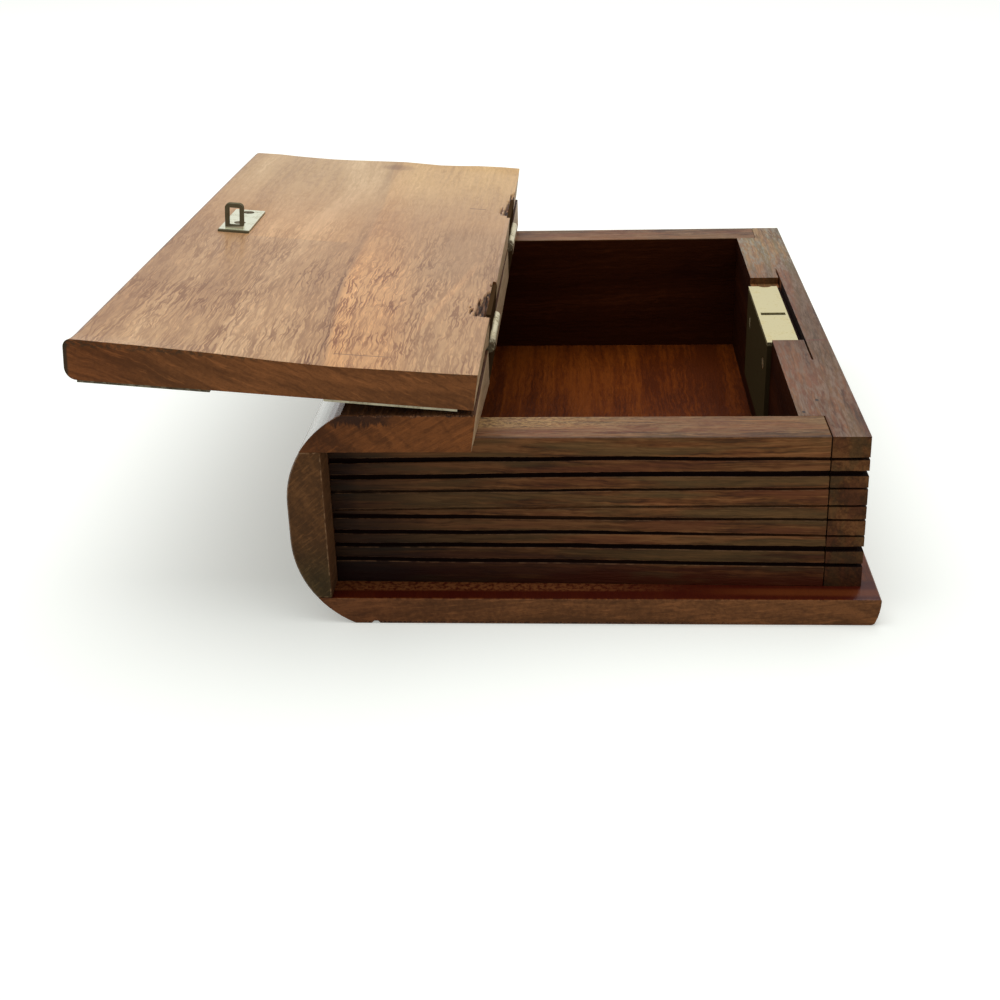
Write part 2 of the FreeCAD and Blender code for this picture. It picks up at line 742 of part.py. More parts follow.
def staple_loop():
    """The upright loop that enters the lock, with rounded tip corners and a square eye."""
    body = new_body("staple_loop")
    left = "x_loop - loop_width / 2"
    right = "x_loop + loop_width / 2"
    front = outline(sketch_on(body, "XZ"), [
        (left, "z_loop_root"),
        (left, "z_loop_tip + loop_round", "loop_round", 1),
        (left + " + loop_round", "z_loop_tip"),
        (right + " - loop_round", "z_loop_tip", "loop_round", 1),
        (right, "z_loop_tip + loop_round"),
        (right, "z_loop_root"),
    ])
    pad(body, front, "loop_thickness", symmetric=True)
    eye = rectangle(sketch_on(body, "XZ"), left + " + loop_bar", right + " - loop_bar",
                    "z_loop_tip + loop_tip", "z_loop_tip + loop_tip + loop_hole_height")
    cut_through(body, eye)
    turn_with_lid(body)
    return body


# Corner plates: where the corner is, and which way its legs run
CORNERS = {
    "head_fore": ("x_corner_fore", "-y_corner", "-", "+"),
    "head_hinge": ("x_corner_hinge", "-y_corner", "+", "+"),
    "tail_fore": ("x_corner_fore", "y_corner", "-", "-"),
    "tail_hinge": ("x_corner_hinge", "y_corner", "+", "-"),
}


def corner_pin_places(across, along, across_way, along_way):
    """One pin at the corner and one near the end of each leg."""
    near = "corner_band / 2"
    far = "(corner_leg - corner_pin_inset)"
    steps = ((near, near), (far, near), (near, far))
    return [("%s %s %s" % (across, across_way, first), "%s %s %s" % (along, along_way, second))
            for first, second in steps]


def corner_plate(name, corner):
    """A thin plate on the lid's outer face: two legs with a hollow curve between them."""
    body = new_body("corner_plate_" + name)
    across, along, across_way, along_way = corner
    leg_x = "%s %s corner_leg" % (across, across_way)
    leg_y = "%s %s corner_leg" % (along, along_way)
    side = 1 if across_way != along_way else -1
    plan = outline(sketch_on(body, "XY", "book_height"), [
        (across, along),
        (leg_x, along),
        (leg_x, "%s %s corner_band" % (along, along_way), "corner_leg - corner_band", side),
        ("%s %s corner_band" % (across, across_way), leg_y),
        (across, leg_y),
    ])
    pad(body, plan, "corner_thickness")
    holes = sketch_on(body, "XY", "book_height")
    for place in corner_pin_places(*corner):
        circle(holes, *place, "corner_pin_radius + corner_pin_fit")
    pocket(body, holes, "corner_thickness", reverse=True)
    turn_with_lid(body)
    return body


def corner_pin():
    """A small pin with a low domed head, the head's underside at its own z 0."""
    body = new_body("corner_pin")
    dome = "(corner_pin_head_radius ^ 2 + corner_pin_head_height ^ 2) / (2 * corner_pin_head_height)"
    section = outline(sketch_on(body, "XZ"), [
        ("0", "-corner_pin_length"), ("corner_pin_radius", "-corner_pin_length + corner_pin_radius"),
        ("corner_pin_radius", "0"), ("corner_pin_head_radius", "0", dome, 1),
        ("0", "corner_pin_head_height"),
    ])
    turned = body.newObject("PartDesign::Revolution", "corner_pin_revolution")
    turned.Profile = section
    turned.ReferenceAxis = (section, ["V_Axis"])
    return body


def build():
    """Every piece of the box, in the order in which it goes together."""
    pieces = [
        base_board(),
        end_wall("front_wall", "-"),
        end_wall("rear_wall", ""),
        fore_edge_wall(),
        spine_board(),
        hinge_strip(),
        lid_board(),
    ]
    strip_screws = []
    lid_screws = []
    for name, middle in (("front", "y_front_hinge"), ("rear", "y_rear_hinge")):
        strip_leaf = hinge_leaf(name + "_hinge_strip_leaf", middle, "-", 0)
        lid_leaf = hinge_leaf(name + "_hinge_lid_leaf", middle, "+", 1)
        turn_with_lid(lid_leaf)
        pieces += [strip_leaf, lid_leaf, hinge_pin(name + "_hinge_pin", middle)]
        for place in leaf_screw_places(middle):
            strip_screws.append(("x_axis - leaf_face", place, "z_leaf_screw"))
            lid_screws.append(("x_axis + leaf_face", place, "z_leaf_screw"))
    wood_screw = screw()
    lid_leaf_screws = copies("lid_leaf_screws", wood_screw, lid_screws, (-1, 0, 0))
    turn_with_lid(lid_leaf_screws)
    pieces += [copies("strip_leaf_screws", wood_screw, strip_screws, (1, 0, 0)), lid_leaf_screws]
    lock_screws = [("x_back", place, "z_lock_screw") for place in lock_screw_places()]
    pieces += [
        lock_plate(),
        lock_case(),
        lock_bolt(),
        bolt_guide(),
        bolt_spring(),
        key_post(),
        copies("lock_screws", wood_screw, lock_screws, (-1, 0, 0)),
        staple_plate(),
        staple_loop(),
    ]
    staple_places = [("x_loop", place, "z_loop_root") for place in staple_screw_places()]
    staple_screws = copies("staple_screws", wood_screw, staple_places, (0, 0, -1))
    turn_with_lid(staple_screws)
    pieces.append(staple_screws)
    pin_places = []
    for name, corner in CORNERS.items():
        pieces.append(corner_plate(name, corner))
        for place in corner_pin_places(*corner):
            pin_places.append(place + ("book_height + corner_thickness",))
    pins = copies("corner_pins", corner_pin(), pin_places, (0, 0, 1))
    turn_with_lid(pins)
    pieces.append(pins)
    return pieces


def check(pieces):
    """Stops before anything is written if a feature failed, cut nothing or left a bad solid."""
    for item in doc.Objects:
        if "Invalid" in item.State or "Error" in item.State:
            raise RuntimeError("%s failed: %s" % (item.Label, item.State))
        if item.TypeId == "PartDesign::Pocket":
            if item.Shape.Volume >= item.BaseFeature.Shape.Volume:
                raise RuntimeError("%s cuts nothing" % item.Label)
    for piece in pieces:
        if piece.Shape.isNull() or not piece.Shape.isValid() or not piece.Shape.Solids:
            raise RuntimeError("%s has no sound solid" % piece.Label)
        if piece.TypeId == "PartDesign::Body" and len(piece.Shape.Solids) > 1:
            raise RuntimeError("%s is in several solids" % piece.Label)


pieces = build()
doc.recompute()
check(pieces)
os.makedirs("parts", exist_ok=True)
for piece in pieces:
    piece.Shape.exportStep("parts/%s.step" % piece.Label)
    print("%-28s %d solid(s), %9.1f mm3" % (piece.Label, len(piece.Shape.Solids), piece.Shape.Volume))
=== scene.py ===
# %% [markdown]
# # A wooden book box, dressed for a product picture
# The box looks like a closed book: a rounded spine, two covers that stand out past a block of
# "pages" with saw-cut lines, and a front cover that is a lid, turned right back on two butt hinges.
# The solids come from a CAD model. Here they get worn edges, hand-sawn lines, wood that was cut
# from a log, and brass that has been handled for years.

import json
import math

import bmesh
import bpy
from mathutils import Matrix, Vector, noise


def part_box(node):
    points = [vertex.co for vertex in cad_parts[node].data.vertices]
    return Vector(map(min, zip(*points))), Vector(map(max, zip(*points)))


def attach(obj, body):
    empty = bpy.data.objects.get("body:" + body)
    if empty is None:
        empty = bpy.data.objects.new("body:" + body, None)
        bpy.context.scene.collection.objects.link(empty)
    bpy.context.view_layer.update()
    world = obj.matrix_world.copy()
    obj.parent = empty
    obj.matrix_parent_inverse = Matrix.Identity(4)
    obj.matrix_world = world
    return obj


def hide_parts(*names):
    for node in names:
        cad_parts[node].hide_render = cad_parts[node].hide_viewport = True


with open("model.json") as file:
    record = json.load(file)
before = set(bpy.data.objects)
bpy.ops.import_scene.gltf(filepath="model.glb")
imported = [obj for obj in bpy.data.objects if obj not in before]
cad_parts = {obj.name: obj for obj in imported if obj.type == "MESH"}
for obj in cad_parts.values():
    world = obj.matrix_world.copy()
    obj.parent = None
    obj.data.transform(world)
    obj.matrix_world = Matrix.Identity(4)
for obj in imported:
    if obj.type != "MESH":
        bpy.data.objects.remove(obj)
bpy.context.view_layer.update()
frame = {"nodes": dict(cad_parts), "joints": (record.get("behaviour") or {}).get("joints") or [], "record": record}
nodes = frame["nodes"]
MM = 0.001

# %% [markdown]
# ## The camera
# The picture was taken from in front of the head of the book, a little above it. The camera's place
# and its three turns were worked out from the corners of the boards, so that edges land where the
# photo has them.

# %% Place the camera
CAMERA_PLACE = Vector((1.43, -393.73, 167.25)) * MM
CAMERA_YAW = math.radians(3.925)
CAMERA_PITCH = math.radians(24.723)
CAMERA_ROLL = math.radians(-1.657)
CAMERA_LENS = 52.98
SENSOR_WIDTH = 36.0
CLIP_START = 10 * MM
LEVEL = math.radians(90)

camera_data = bpy.data.cameras.new("camera")
camera_data.lens = CAMERA_LENS
camera_data.sensor_width = SENSOR_WIDTH
camera_data.clip_start = CLIP_START
camera = bpy.data.objects.new("camera", camera_data)
bpy.context.scene.collection.objects.link(camera)
camera.matrix_world = (
    Matrix.Translation(CAMERA_PLACE)
    @ Matrix.Rotation(CAMERA_YAW, 4, "Z")
    @ Matrix.Rotation(LEVEL - CAMERA_PITCH, 4, "X")
    @ Matrix.Rotation(CAMERA_ROLL, 4, "Z")
)
bpy.context.scene.camera = camera
print("camera stands", round(-CAMERA_PLACE.y / MM), "mm in front of the middle")

# %% [markdown]
# ## Sums on sockets
# A procedural finish is mostly arithmetic. Adding each Math node by hand hides it, so one small
# class wraps a node's output and lets Python's own operators add the Math nodes. Every other node
# goes through one method, which takes the node's type, its settings and what its sockets get.

# %% Wrap a socket
def pick(sockets, key):
    """A socket by its place, its identifier or its name."""
    if isinstance(key, int):
        return sockets[key]
    return next(s for s in sockets if key in (s.identifier, s.name))


class Wire:
    """A node's output, used like a number. An expression on wires adds the nodes that work it out."""

    def __init__(self, tree, socket=None):
        self.tree = tree
        self.socket = socket

    def add(self, kind, settings=None, sockets=None, out=0):
        """Any node: its type, its settings, which are set first, and its sockets' values or wires."""
        node = self.tree.nodes.new(kind)
        for name, value in (settings or {}).items():
            setattr(node, name, value)
        for key, value in (sockets or {}).items():
            if isinstance(value, Wire):
                self.tree.links.new(value.socket, pick(node.inputs, key))
            else:
                pick(node.inputs, key).default_value = value
        return Wire(self.tree, pick(node.outputs, out)) if node.outputs else None

    def sum(self, operation, first, second):
        return self.add("ShaderNodeMath", {"operation": operation}, {0: first, 1: second})

    def __add__(self, other):
        return self.sum("ADD", self, other)

    def __radd__(self, other):
        return self.sum("ADD", other, self)

    def __sub__(self, other):
        return self.sum("SUBTRACT", self, other)

    def __rsub__(self, other):
        return self.sum("SUBTRACT", other, self)

    def __mul__(self, other):
        return self.sum("MULTIPLY", self, other)

    def __rmul__(self, other):
        return self.sum("MULTIPLY", other, self)

    def __truediv__(self, other):
        return self.sum("DIVIDE", self, other)

    def __pow__(self, other):
        return self.sum("POWER", self, other)

    def __abs__(self):
        return self.add("ShaderNodeMath", {"operation": "ABSOLUTE"}, {0: self})

    def step(self, low, high):
        """0 below low and 1 above high, with a smooth rise between. Low may be the larger one."""
        return self.add("ShaderNodeMapRange", {"interpolation_type": "SMOOTHSTEP"},
                        {"Value": self, "From Min": low, "From Max": high})

    def near(self, place, far, close):
        """1 within close of a place, falling to 0 at far from it."""
        return abs(self - place).step(far, close)

    def tint(self, plain, tinted):
        """A mask's colour: plain where it is 0, tinted where it is 1."""
        return self.add("ShaderNodeMix", {"data_type": "RGBA"},
                        {"Factor_Float": self, "A_Color": plain, "B_Color": tinted}, "Result_Color")

    def scaled(self, factors):
        """A vector or colour with each part multiplied."""
        return self.add("ShaderNodeVectorMath", {"operation": "MULTIPLY"}, {0: self, 1: factors})

    def shifted(self, x=0.0, y=0.0, z=0.0):
        """A vector with a wire or number added to each part."""
        shift = self.add("ShaderNodeCombineXYZ", None, {"X": x, "Y": y, "Z": z})
        return self.add("ShaderNodeVectorMath", {"operation": "ADD"}, {0: self, 1: shift})

    def parts(self):
        """The three parts of a vector."""
        node = self.tree.nodes.new("ShaderNodeSeparateXYZ")
        self.tree.links.new(self.socket, node.inputs[0])
        return [Wire(self.tree, output) for output in node.outputs]

    def cloud(self, frequency, octaves, roughness):
        """Soft noise with so many waves to each unit of a vector's three parts."""
        return self.add("ShaderNodeTexNoise", None,
                        {"Vector": self.scaled(frequency), "Scale": 1.0, "Detail": octaves,
                         "Roughness": roughness}, "Fac")


def new_finish(name):
    """A material, the wire that starts its sums, and a way to fill its shader's sockets."""
    material = bpy.data.materials.new(name)
    material.use_nodes = True
    tree = material.node_tree
    shader = tree.nodes["Principled BSDF"]

    def fill(sockets):
        for key, value in sockets.items():
            if isinstance(value, Wire):
                tree.links.new(value.socket, shader.inputs[key])
            else:
                shader.inputs[key].default_value = value

    return material, Wire(tree), fill


# %% [markdown]
# ## The floor
# The box stands on a white sweep, a plain pale surface that takes the box's shadow. To make its lit
# parts paper white in the picture, it adds a little light of its own to camera and mirror rays only,
# so nothing more falls on the box.

# %% Lay the floor
FLOOR_SIZE = 8.0
FLOOR_DROP = 0.02 * MM
FLOOR_WHITE = (0.78, 0.80, 0.77, 1.0)
FLOOR_LIFT = (0.325, 0.335, 0.315, 1.0)


def is_seen(wire):
    """1 on rays from the camera, in mirrors and through glass, and 0 on rays that only light."""
    rays = [wire.add("ShaderNodeLightPath", None, None, name)
            for name in ("Is Camera Ray", "Is Glossy Ray", "Is Transmission Ray")]
    return (rays[0] + rays[1] + rays[2]).step(0.0, 1.0)


floor_mesh = bpy.data.meshes.new("floor")
half = FLOOR_SIZE / 2
corners = [(x * half, y * half, -FLOOR_DROP) for x, y in ((-1, -1), (1, -1), (1, 1), (-1, 1))]
floor_mesh.from_pydata(corners, [], [(0, 1, 2, 3)])
floor = bpy.data.objects.new("floor", floor_mesh)
bpy.context.scene.collection.objects.link(floor)

sweep = bpy.data.materials.new("white_sweep")
sweep.use_nodes = True
sweep.node_tree.nodes.clear()
start = Wire(sweep.node_tree)
plain = start.add("ShaderNodeBsdfDiffuse", None, {"Color": FLOOR_WHITE})
glow = start.add("ShaderNodeEmission", None, {"Color": FLOOR_LIFT, "Strength": 1.0})
lifted = start.add("ShaderNodeAddShader", None, {0: plain, 1: glow})
shown = start.add("ShaderNodeMixShader", None, {0: is_seen(start), 1: plain, 2: lifted})
start.add("ShaderNodeOutputMaterial", None, {"Surface": shown})
floor.data.materials.append(sweep)
print("floor", FLOOR_SIZE, "m wide")

# %% [markdown]
# ## The light
# One wide soft light hangs above the box, a little to the spine's side, and a dim white room fills
# the shadows. The room looks brighter to the camera and in mirrors than the light it gives.

# %% Light the room
WHITE = (1.0, 1.0, 1.0, 1.0)
SKY_ON_OBJECT = 0.4
LAMP_PLACE = (-0.3, 0.3, 1.6)
LAMP_SIZE = 2.0
LAMP_POWER = 25.0

sky = bpy.data.worlds.new("white_room")
bpy.context.scene.world = sky
sky.use_nodes = True
sky.node_tree.nodes.clear()
start = Wire(sky.node_tree)
dim = start.add("ShaderNodeBackground", None, {"Color": WHITE, "Strength": SKY_ON_OBJECT})
bright = start.add("ShaderNodeBackground", None, {"Color": WHITE, "Strength": 1.0})
room = start.add("ShaderNodeMixShader", None, {0: is_seen(start), 1: dim, 2: bright})
start.add("ShaderNodeOutputWorld", None, {"Surface": room})

lamp_data = bpy.data.lights.new("soft_light", "AREA")
lamp_data.shape = "SQUARE"
lamp_data.size = LAMP_SIZE
lamp_data.energy = LAMP_POWER
lamp = bpy.data.objects.new("soft_light", lamp_data)
bpy.context.scene.collection.objects.link(lamp)
lamp.location = LAMP_PLACE
bpy.context.scene.view_settings.view_transform = "Standard"
print("one soft light,", LAMP_SIZE, "m wide,", LAMP_PLACE[2], "m up")

# %% [markdown]
# ## Wood, cut from a log
# A picture of wood wrapped round a box gives itself away at the corners, so here the grain is worked
# out in the solid. Each board carries a "grain" coordinate in mm: across it, along its fibres and
# through its thickness. Streaks and pores are noise in that space, drawn out along the fibres, so an
# end shows dots where a face shows dashes. One table keeps the noises. Those with a fade are masks.

# %% Name the noises
# Waves per mm across, along and through the fibres, octaves, roughness, and a fade's two ends
NOISES = {
    "wander": ((0.02, 0.005, 0.02), 2, 0.5),
    "curl": ((0.16, 0.13, 0.16), 2, 0.5),
    "squiggle": ((0.45, 0.24, 0.45), 1, 0.5),
    "streaks": ((1.1, 0.035, 1.1), 5, 0.65),
    "patches": ((0.035, 0.014, 0.035), 2, 0.5),
    "ripple": ((0.9, 0.25, 0.9), 2, 0.6),
    "clusters": ((0.12, 0.04, 0.12), 3, 0.5, 0.40, 0.62),
    "strands": ((0.65, 0.035, 0.65), 2, 0.5),
    "hairs": ((0.8, 0.07, 0.8), 2, 0.5),
    "short_pores": ((2.6, 0.20, 2.6), 1, 0.5, 0.55, 0.63),
    "glints": ((2.4, 0.10, 2.4), 2, 0.5, 0.54, 0.66),
    "drift": ((0.22, 0.02, 0.10), 3, 0.6),
    "broad_rub": ((0.2, 0.05, 0.2), 2, 0.5, 0.25, 0.52),
    "fine_rub": ((1.2, 0.16, 1.2), 5, 0.75, 0.44, 0.60),
    "end_dots": ((1.3, 1.0, 2.8), 3, 0.7, 0.50, 0.62),
    "flames": ((1.0, 1.0, 1.0), 5, 0.65),
    "fibres": ((2.2, 0.15, 2.2), 3, 0.5, 0.42, 0.60),
    "splinters": ((1.6, 0.10, 1.6), 1, 0.5, 0.60, 0.64),
    "breaks": ((0.7, 0.35, 0.7), 3, 0.7, 0.42, 0.62),
    "edge_chips": ((0.9, 0.9, 1.6), 3, 0.7, 0.44, 0.56),
    "foot_stain": ((0.3, 0.06, 0.3), 2, 0.5, 0.4, 0.6),
    "rim_specks": ((2.4, 0.9, 2.4), 3, 0.7, 0.42, 0.58),
    "joint_wear": ((0.3, 0.3, 0.3), 2, 0.5, 0.4, 0.6),
    "ledge_specks": ((0.9, 0.9, 0.9), 4, 0.7, 0.38, 0.58),
    # Ragged lower edge of the painted lid shadow on the rail's end
    "glue": ((0.9, 0.9, 0.2), 3, 0.7),
    "tarnish": ((0.25, 0.25, 0.25), 4, 0.6),
    "brass_specks": ((1.6, 1.6, 1.6), 3, 0.7),
    "barrel_smudge": ((0.8, 0.8, 0.8), 3, 0.5, 0.25, 0.55),
    "plate_smudge": ((0.8, 0.8, 0.8), 3, 0.5, 0.35, 0.6),
}
# How far some are moved across the board, in mm, so that they don't follow the others
SHIFTS = {"clusters": 11.0, "hairs": 23.0, "short_pores": 57.0, "glints": 31.0}
MEAN_NOISE = 0.5


def drawn(vector, name):
    """A named noise from 0 to 1, or a mask where the table gives it a fade."""
    frequency, octaves, roughness, *fade = NOISES[name]
    place = vector.shifted(x=SHIFTS[name]) if name in SHIFTS else vector
    cloud = place.cloud(frequency, octaves, roughness)
    return cloud.step(*fade) if fade else cloud


def swing(vector, name):
    """A named noise about 0."""
    return drawn(vector, name) - MEAN_NOISE


def mark(start, name):
    """A number that the boards carry on their faces or corners."""
    return start.add("ShaderNodeAttribute", {"attribute_name": name}, None, "Fac")


def opaque(tone, level=1.0):
    return tuple(part * level for part in tone) + (1.0,)


print(len(NOISES), "named noises")

# %% [markdown]
# ## The figure of a board
# A saw seldom follows the fibres, so they wander and curl first. In that bent space, rings lie round
# the log's pith, and pores are thin strands where a noise passes through its middle value.

# %% Draw the figure
WANDER_ACROSS = 14.0
WANDER_THROUGH = 6.0
CURL_GAIN = 2.0
CURL_THROUGH = 0.5
RINGS = {"Scale": 1.0, "Detail": 3.0, "Roughness": 0.6}
RING_WAVES = 0.16
STRAND_FADE = (0.055, 0.01)
HAIR_FADE = (0.06, 0.01)
PORE_SHARES = {"strands": 0.8, "hairs": 0.6, "short_pores": 0.3}
LONE_PORES = 0.45


def mixed(figure, shares):
    total = 0.0
    for name, share in shares.items():
        total = total + figure[name] * share
    return total


def figure_of(grain, waving, pith, squiggle):
    """The figure's wires. Waving is how far the fibres curl, in mm, and pith is the log's middle."""
    figure = {"wander": swing(grain, "wander")}
    curl = swing(grain, "curl") * CURL_GAIN + swing(grain, "squiggle") * squiggle
    bent = grain.shifted(x=figure["wander"] * WANDER_ACROSS + curl * waving,
                         z=figure["wander"] * WANDER_THROUGH + curl * waving * CURL_THROUGH)
    figure["across"], along, figure["through"] = bent.parts()
    ring = ((figure["across"] - pith[0]) ** 2.0 + (figure["through"] - pith[1]) ** 2.0) ** 0.5
    figure["bands"] = ring.add("ShaderNodeTexNoise", {"noise_dimensions": "1D"},
                               {"W": ring * RING_WAVES, **RINGS}, "Fac") - MEAN_NOISE
    figure["streaks"] = swing(bent, "streaks")
    figure["patches"] = swing(grain, "patches")
    figure["ripple"] = swing(bent, "ripple")
    figure["strands"] = abs(swing(bent, "strands")).step(*STRAND_FADE)
    figure["hairs"] = abs(swing(bent, "hairs")).step(*HAIR_FADE)
    figure["short_pores"] = drawn(bent, "short_pores")
    figure["glints"] = drawn(bent, "glints")
    crowd = LONE_PORES + drawn(grain, "clusters") * (1.0 - LONE_PORES)
    figure["pores"] = mixed(figure, PORE_SHARES).step(0.0, 1.0) * crowd
    return figure


# %% [markdown]
# ## Colour on faces and on ends
# On a face, bands and streaks run from a dark tone to a light one, and dark pores lie on top. An end
# is cut across the fibres and drinks in more polish, so it has its own tone, with flames.

# %% Colour the wood
FACE_SHARES = {"bands": 0.8, "patches": 0.7, "ripple": 0.35}
DARK_FADE = (0.34, 0.52)
LIGHT_FADE = (0.50, 0.68)
DRIFTS = (((0.46, 0.60), 0.65), ((0.48, 0.36), 0.6))
RUB_SHARE = 0.9
GLINT_SHARE = 0.6
GLINT_GAIN = (1.45, 1.45, 1.45)
END_SHARES = {"bands": 0.7, "ripple": 0.4, "patches": 0.5}
END_FADE = (0.35, 0.65)
END_LEVELS = (0.6, 1.2)
END_DOTS = (0.25, 0.4)
FLAME_STRETCH = 0.12
FLAMES = (((0.50, 0.64), 0.55, 0.45), ((0.46, 0.34), 0.5, 1.8))


def face_colour(start, grain, figure, tones, contrast, streak_gain, fine, rim_tone, drift):
    dark, middle, light, pore, end = tones
    tone = MEAN_NOISE + (mixed(figure, FACE_SHARES) + figure["streaks"] * streak_gain) * contrast
    colour = tone.step(*DARK_FADE).tint(opaque(dark), opaque(middle))
    colour = tone.step(*LIGHT_FADE).tint(colour, opaque(light))
    if drift:
        shade = drawn(grain, "drift")
        for drift_tone, (fade, share) in zip(drift, DRIFTS):
            colour = (shade.step(*fade) * share).tint(colour, opaque(drift_tone))
    if rim_tone:
        rub = drawn(grain, "fine_rub") * drawn(grain, "broad_rub")
        colour = (mark(start, "waxed") * rub * RUB_SHARE).tint(colour, opaque(rim_tone))
    colour = (figure["glints"] * fine * GLINT_SHARE).tint(colour, colour.scaled(GLINT_GAIN))
    return (figure["pores"] * fine).tint(colour, opaque(pore))


def end_colour(grain, figure, end, contrast, slope):
    """The colour across the fibres. Slope slants the flames."""
    across, through = figure["across"], figure["through"]
    tone = MEAN_NOISE + mixed(figure, END_SHARES) * contrast
    colour = tone.step(*END_FADE).tint(opaque(end, END_LEVELS[0]), opaque(end, END_LEVELS[1]))
    colour = (drawn(grain, "end_dots") * END_DOTS[0]).tint(colour, opaque(end, END_DOTS[1]))
    flow = grain.add("ShaderNodeCombineXYZ", None, {"X": (across + through * slope) * FLAME_STRETCH,
                                                    "Y": through - across * slope})
    flames = drawn(flow, "flames")
    for fade, share, level in FLAMES:
        colour = (flames.step(*fade) * share).tint(colour, opaque(end, level))
    return colour


# %% [markdown]
# ## Damage, and the whole finish
# Marks on the faces say where they are worn, sawn, freshly cut or gouged. A gouge shows torn fibres,
# raw wood is pale, and a kerf is painted almost black, a painted shade deep in the groove. The polish
# is a coat that only marked faces have.

# %% Make a wood finish
# Painted shade: faces in a groove are painted almost black, standing in for the shade deep in the kerf
KERF_SHADE_TONE = (0.009, 0.0022, 0.001)
KERF_FADE = (0.0, 0.85)
KERF_DULL = 0.4
TORN_TONES = ((0.022, 0.009, 0.005), (0.13, 0.06, 0.03))
SPLINTER_SHARE = 0.7
RAW_TONES = ((0.50, 0.34, 0.19), (0.64, 0.47, 0.28))
RAW_SHARE = 0.8
SPLIT_TONE = (0.05, 0.025, 0.015)
SPLIT_DEPTH = 2.6
SPLIT_WANDER = 2.0
SPLIT_FADE = (0.6, 0.15)
SPLIT_END = (46.0, 40.0)
GOUGE_FADE = (0.05, 0.5)
WORN_SHARE = 0.6
HEIGHT_SHARES = {"streaks": 0.4, "pores": -0.7, "ripple": 0.25}
BUMP = {"Strength": 0.4, "Distance": 0.15 * MM}
ROUGHNESS = 0.55
ROUGH_SHARES = {"streaks": 0.2, "pores": 0.1}
UNWAXED = (0.0, 0.3)


def damaged(start, grain, figure, colour, light, worn_tone):
    fibres = drawn(grain, "fibres")
    torn = fibres.tint(*[opaque(tone) for tone in TORN_TONES])
    torn = (drawn(grain, "splinters") * SPLINTER_SHARE).tint(torn, opaque(light))
    across, along, depth = grain.parts()
    split = (depth + figure["wander"] * SPLIT_WANDER).near(SPLIT_DEPTH, *SPLIT_FADE) * along.step(*SPLIT_END)
    raw = split.tint(fibres.tint(*[opaque(tone) for tone in RAW_TONES]), opaque(SPLIT_TONE))
    colour = (mark(start, "fresh") * RAW_SHARE).tint(colour, raw)
    colour = mark(start, "gouge").step(*GOUGE_FADE).tint(colour, torn)
    worn = mark(start, "worn") * drawn(grain, "breaks") * WORN_SHARE
    return worn.tint(colour, opaque(worn_tone or light))


def wood(name, tones, waving=1.5, pith=(30.0, -45.0), wax=0.5, wax_roughness=0.3, specular=0.1,
         contrast=1.0, streak_gain=0.8, pore_gain=0.5, squiggle=0.5, end_slope=0.1, worn_tone=None,
         rim_tone=None, drift=None, story=None):
    """A wood in tones (dark, middle, light, pore, end). A story adds what is special to one board."""
    material, start, fill = new_finish(name)
    grain = start.add("ShaderNodeAttribute", {"attribute_name": "grain"}, None, "Vector")
    figure = figure_of(grain, waving, pith, squiggle)
    fine = pore_gain(grain) if callable(pore_gain) else pore_gain
    colour = face_colour(start, grain, figure, tones, contrast, streak_gain, fine, rim_tone, drift)
    colour = mark(start, "end").tint(colour, end_colour(grain, figure, tones[4], contrast, end_slope))
    if story:
        colour = story(start, grain, figure["wander"], colour)
    colour = damaged(start, grain, figure, colour, tones[2], worn_tone)
    # The kerf mark paints grooves almost black, a painted shade, and makes them rougher
    sawn = mark(start, "kerf").step(*KERF_FADE)
    colour = sawn.tint(colour, opaque(KERF_SHADE_TONE))
    bump = start.add("ShaderNodeBump", None, {"Height": mixed(figure, HEIGHT_SHARES), **BUMP}, "Normal")
    polish = mark(start, "waxed") * (1 - mark(start, "gouge").step(*UNWAXED)) * wax
    fill({"Base Color": colour, "Roughness": ROUGHNESS + mixed(figure, ROUGH_SHARES) + sawn * KERF_DULL,
          "Normal": bump, "Specular IOR Level": specular, "Coat Weight": polish,
          "Coat Roughness": wax_roughness})
    return material


# %% [markdown]
# ## Stories: what is special to one board
# A board that was used for years has places of its own, such as a rubbed rim or a stain, and some
# places carry painted shade and painted sheen. Each is a mask in grain mm. A table says what it does
# to the colour, in order: multiply it or paint over it.

# %% Lay marks on a colour
def times(red, green, blue, strength=1.0):
    """A shade that multiplies the colour."""
    return lambda colour, mask: (mask * strength).tint(colour, colour.scaled((red, green, blue)))


def paint(red, green, blue, strength=1.0):
    """A shade that covers the colour."""
    return lambda colour, mask: (mask * strength).tint(colour, opaque((red, green, blue)))


def lay(colour, marks, shades):
    for name, shade in shades.items():
        colour = shade(colour, marks[name])
    return colour


def shade_story(axis, plain, shaded, factors):
    """A board that is darker towards one side, where the grain's part passes two places."""
    def story(start, grain, wander, colour):
        return times(*factors)(colour, grain.parts()[axis].step(plain, shaded))
    return story


# %% [markdown]
# ## The lid's story
# The lid's inner face is the lightest wood. A golden band with a dark seam runs from the head, the far
# end is paler and greyer, a painted sheen, a knot sits by the tail, and there are two scratches.
# Places are counted from the hinge edge and from the head. The squiggles die out towards the tail,
# which is a gain on the pores.

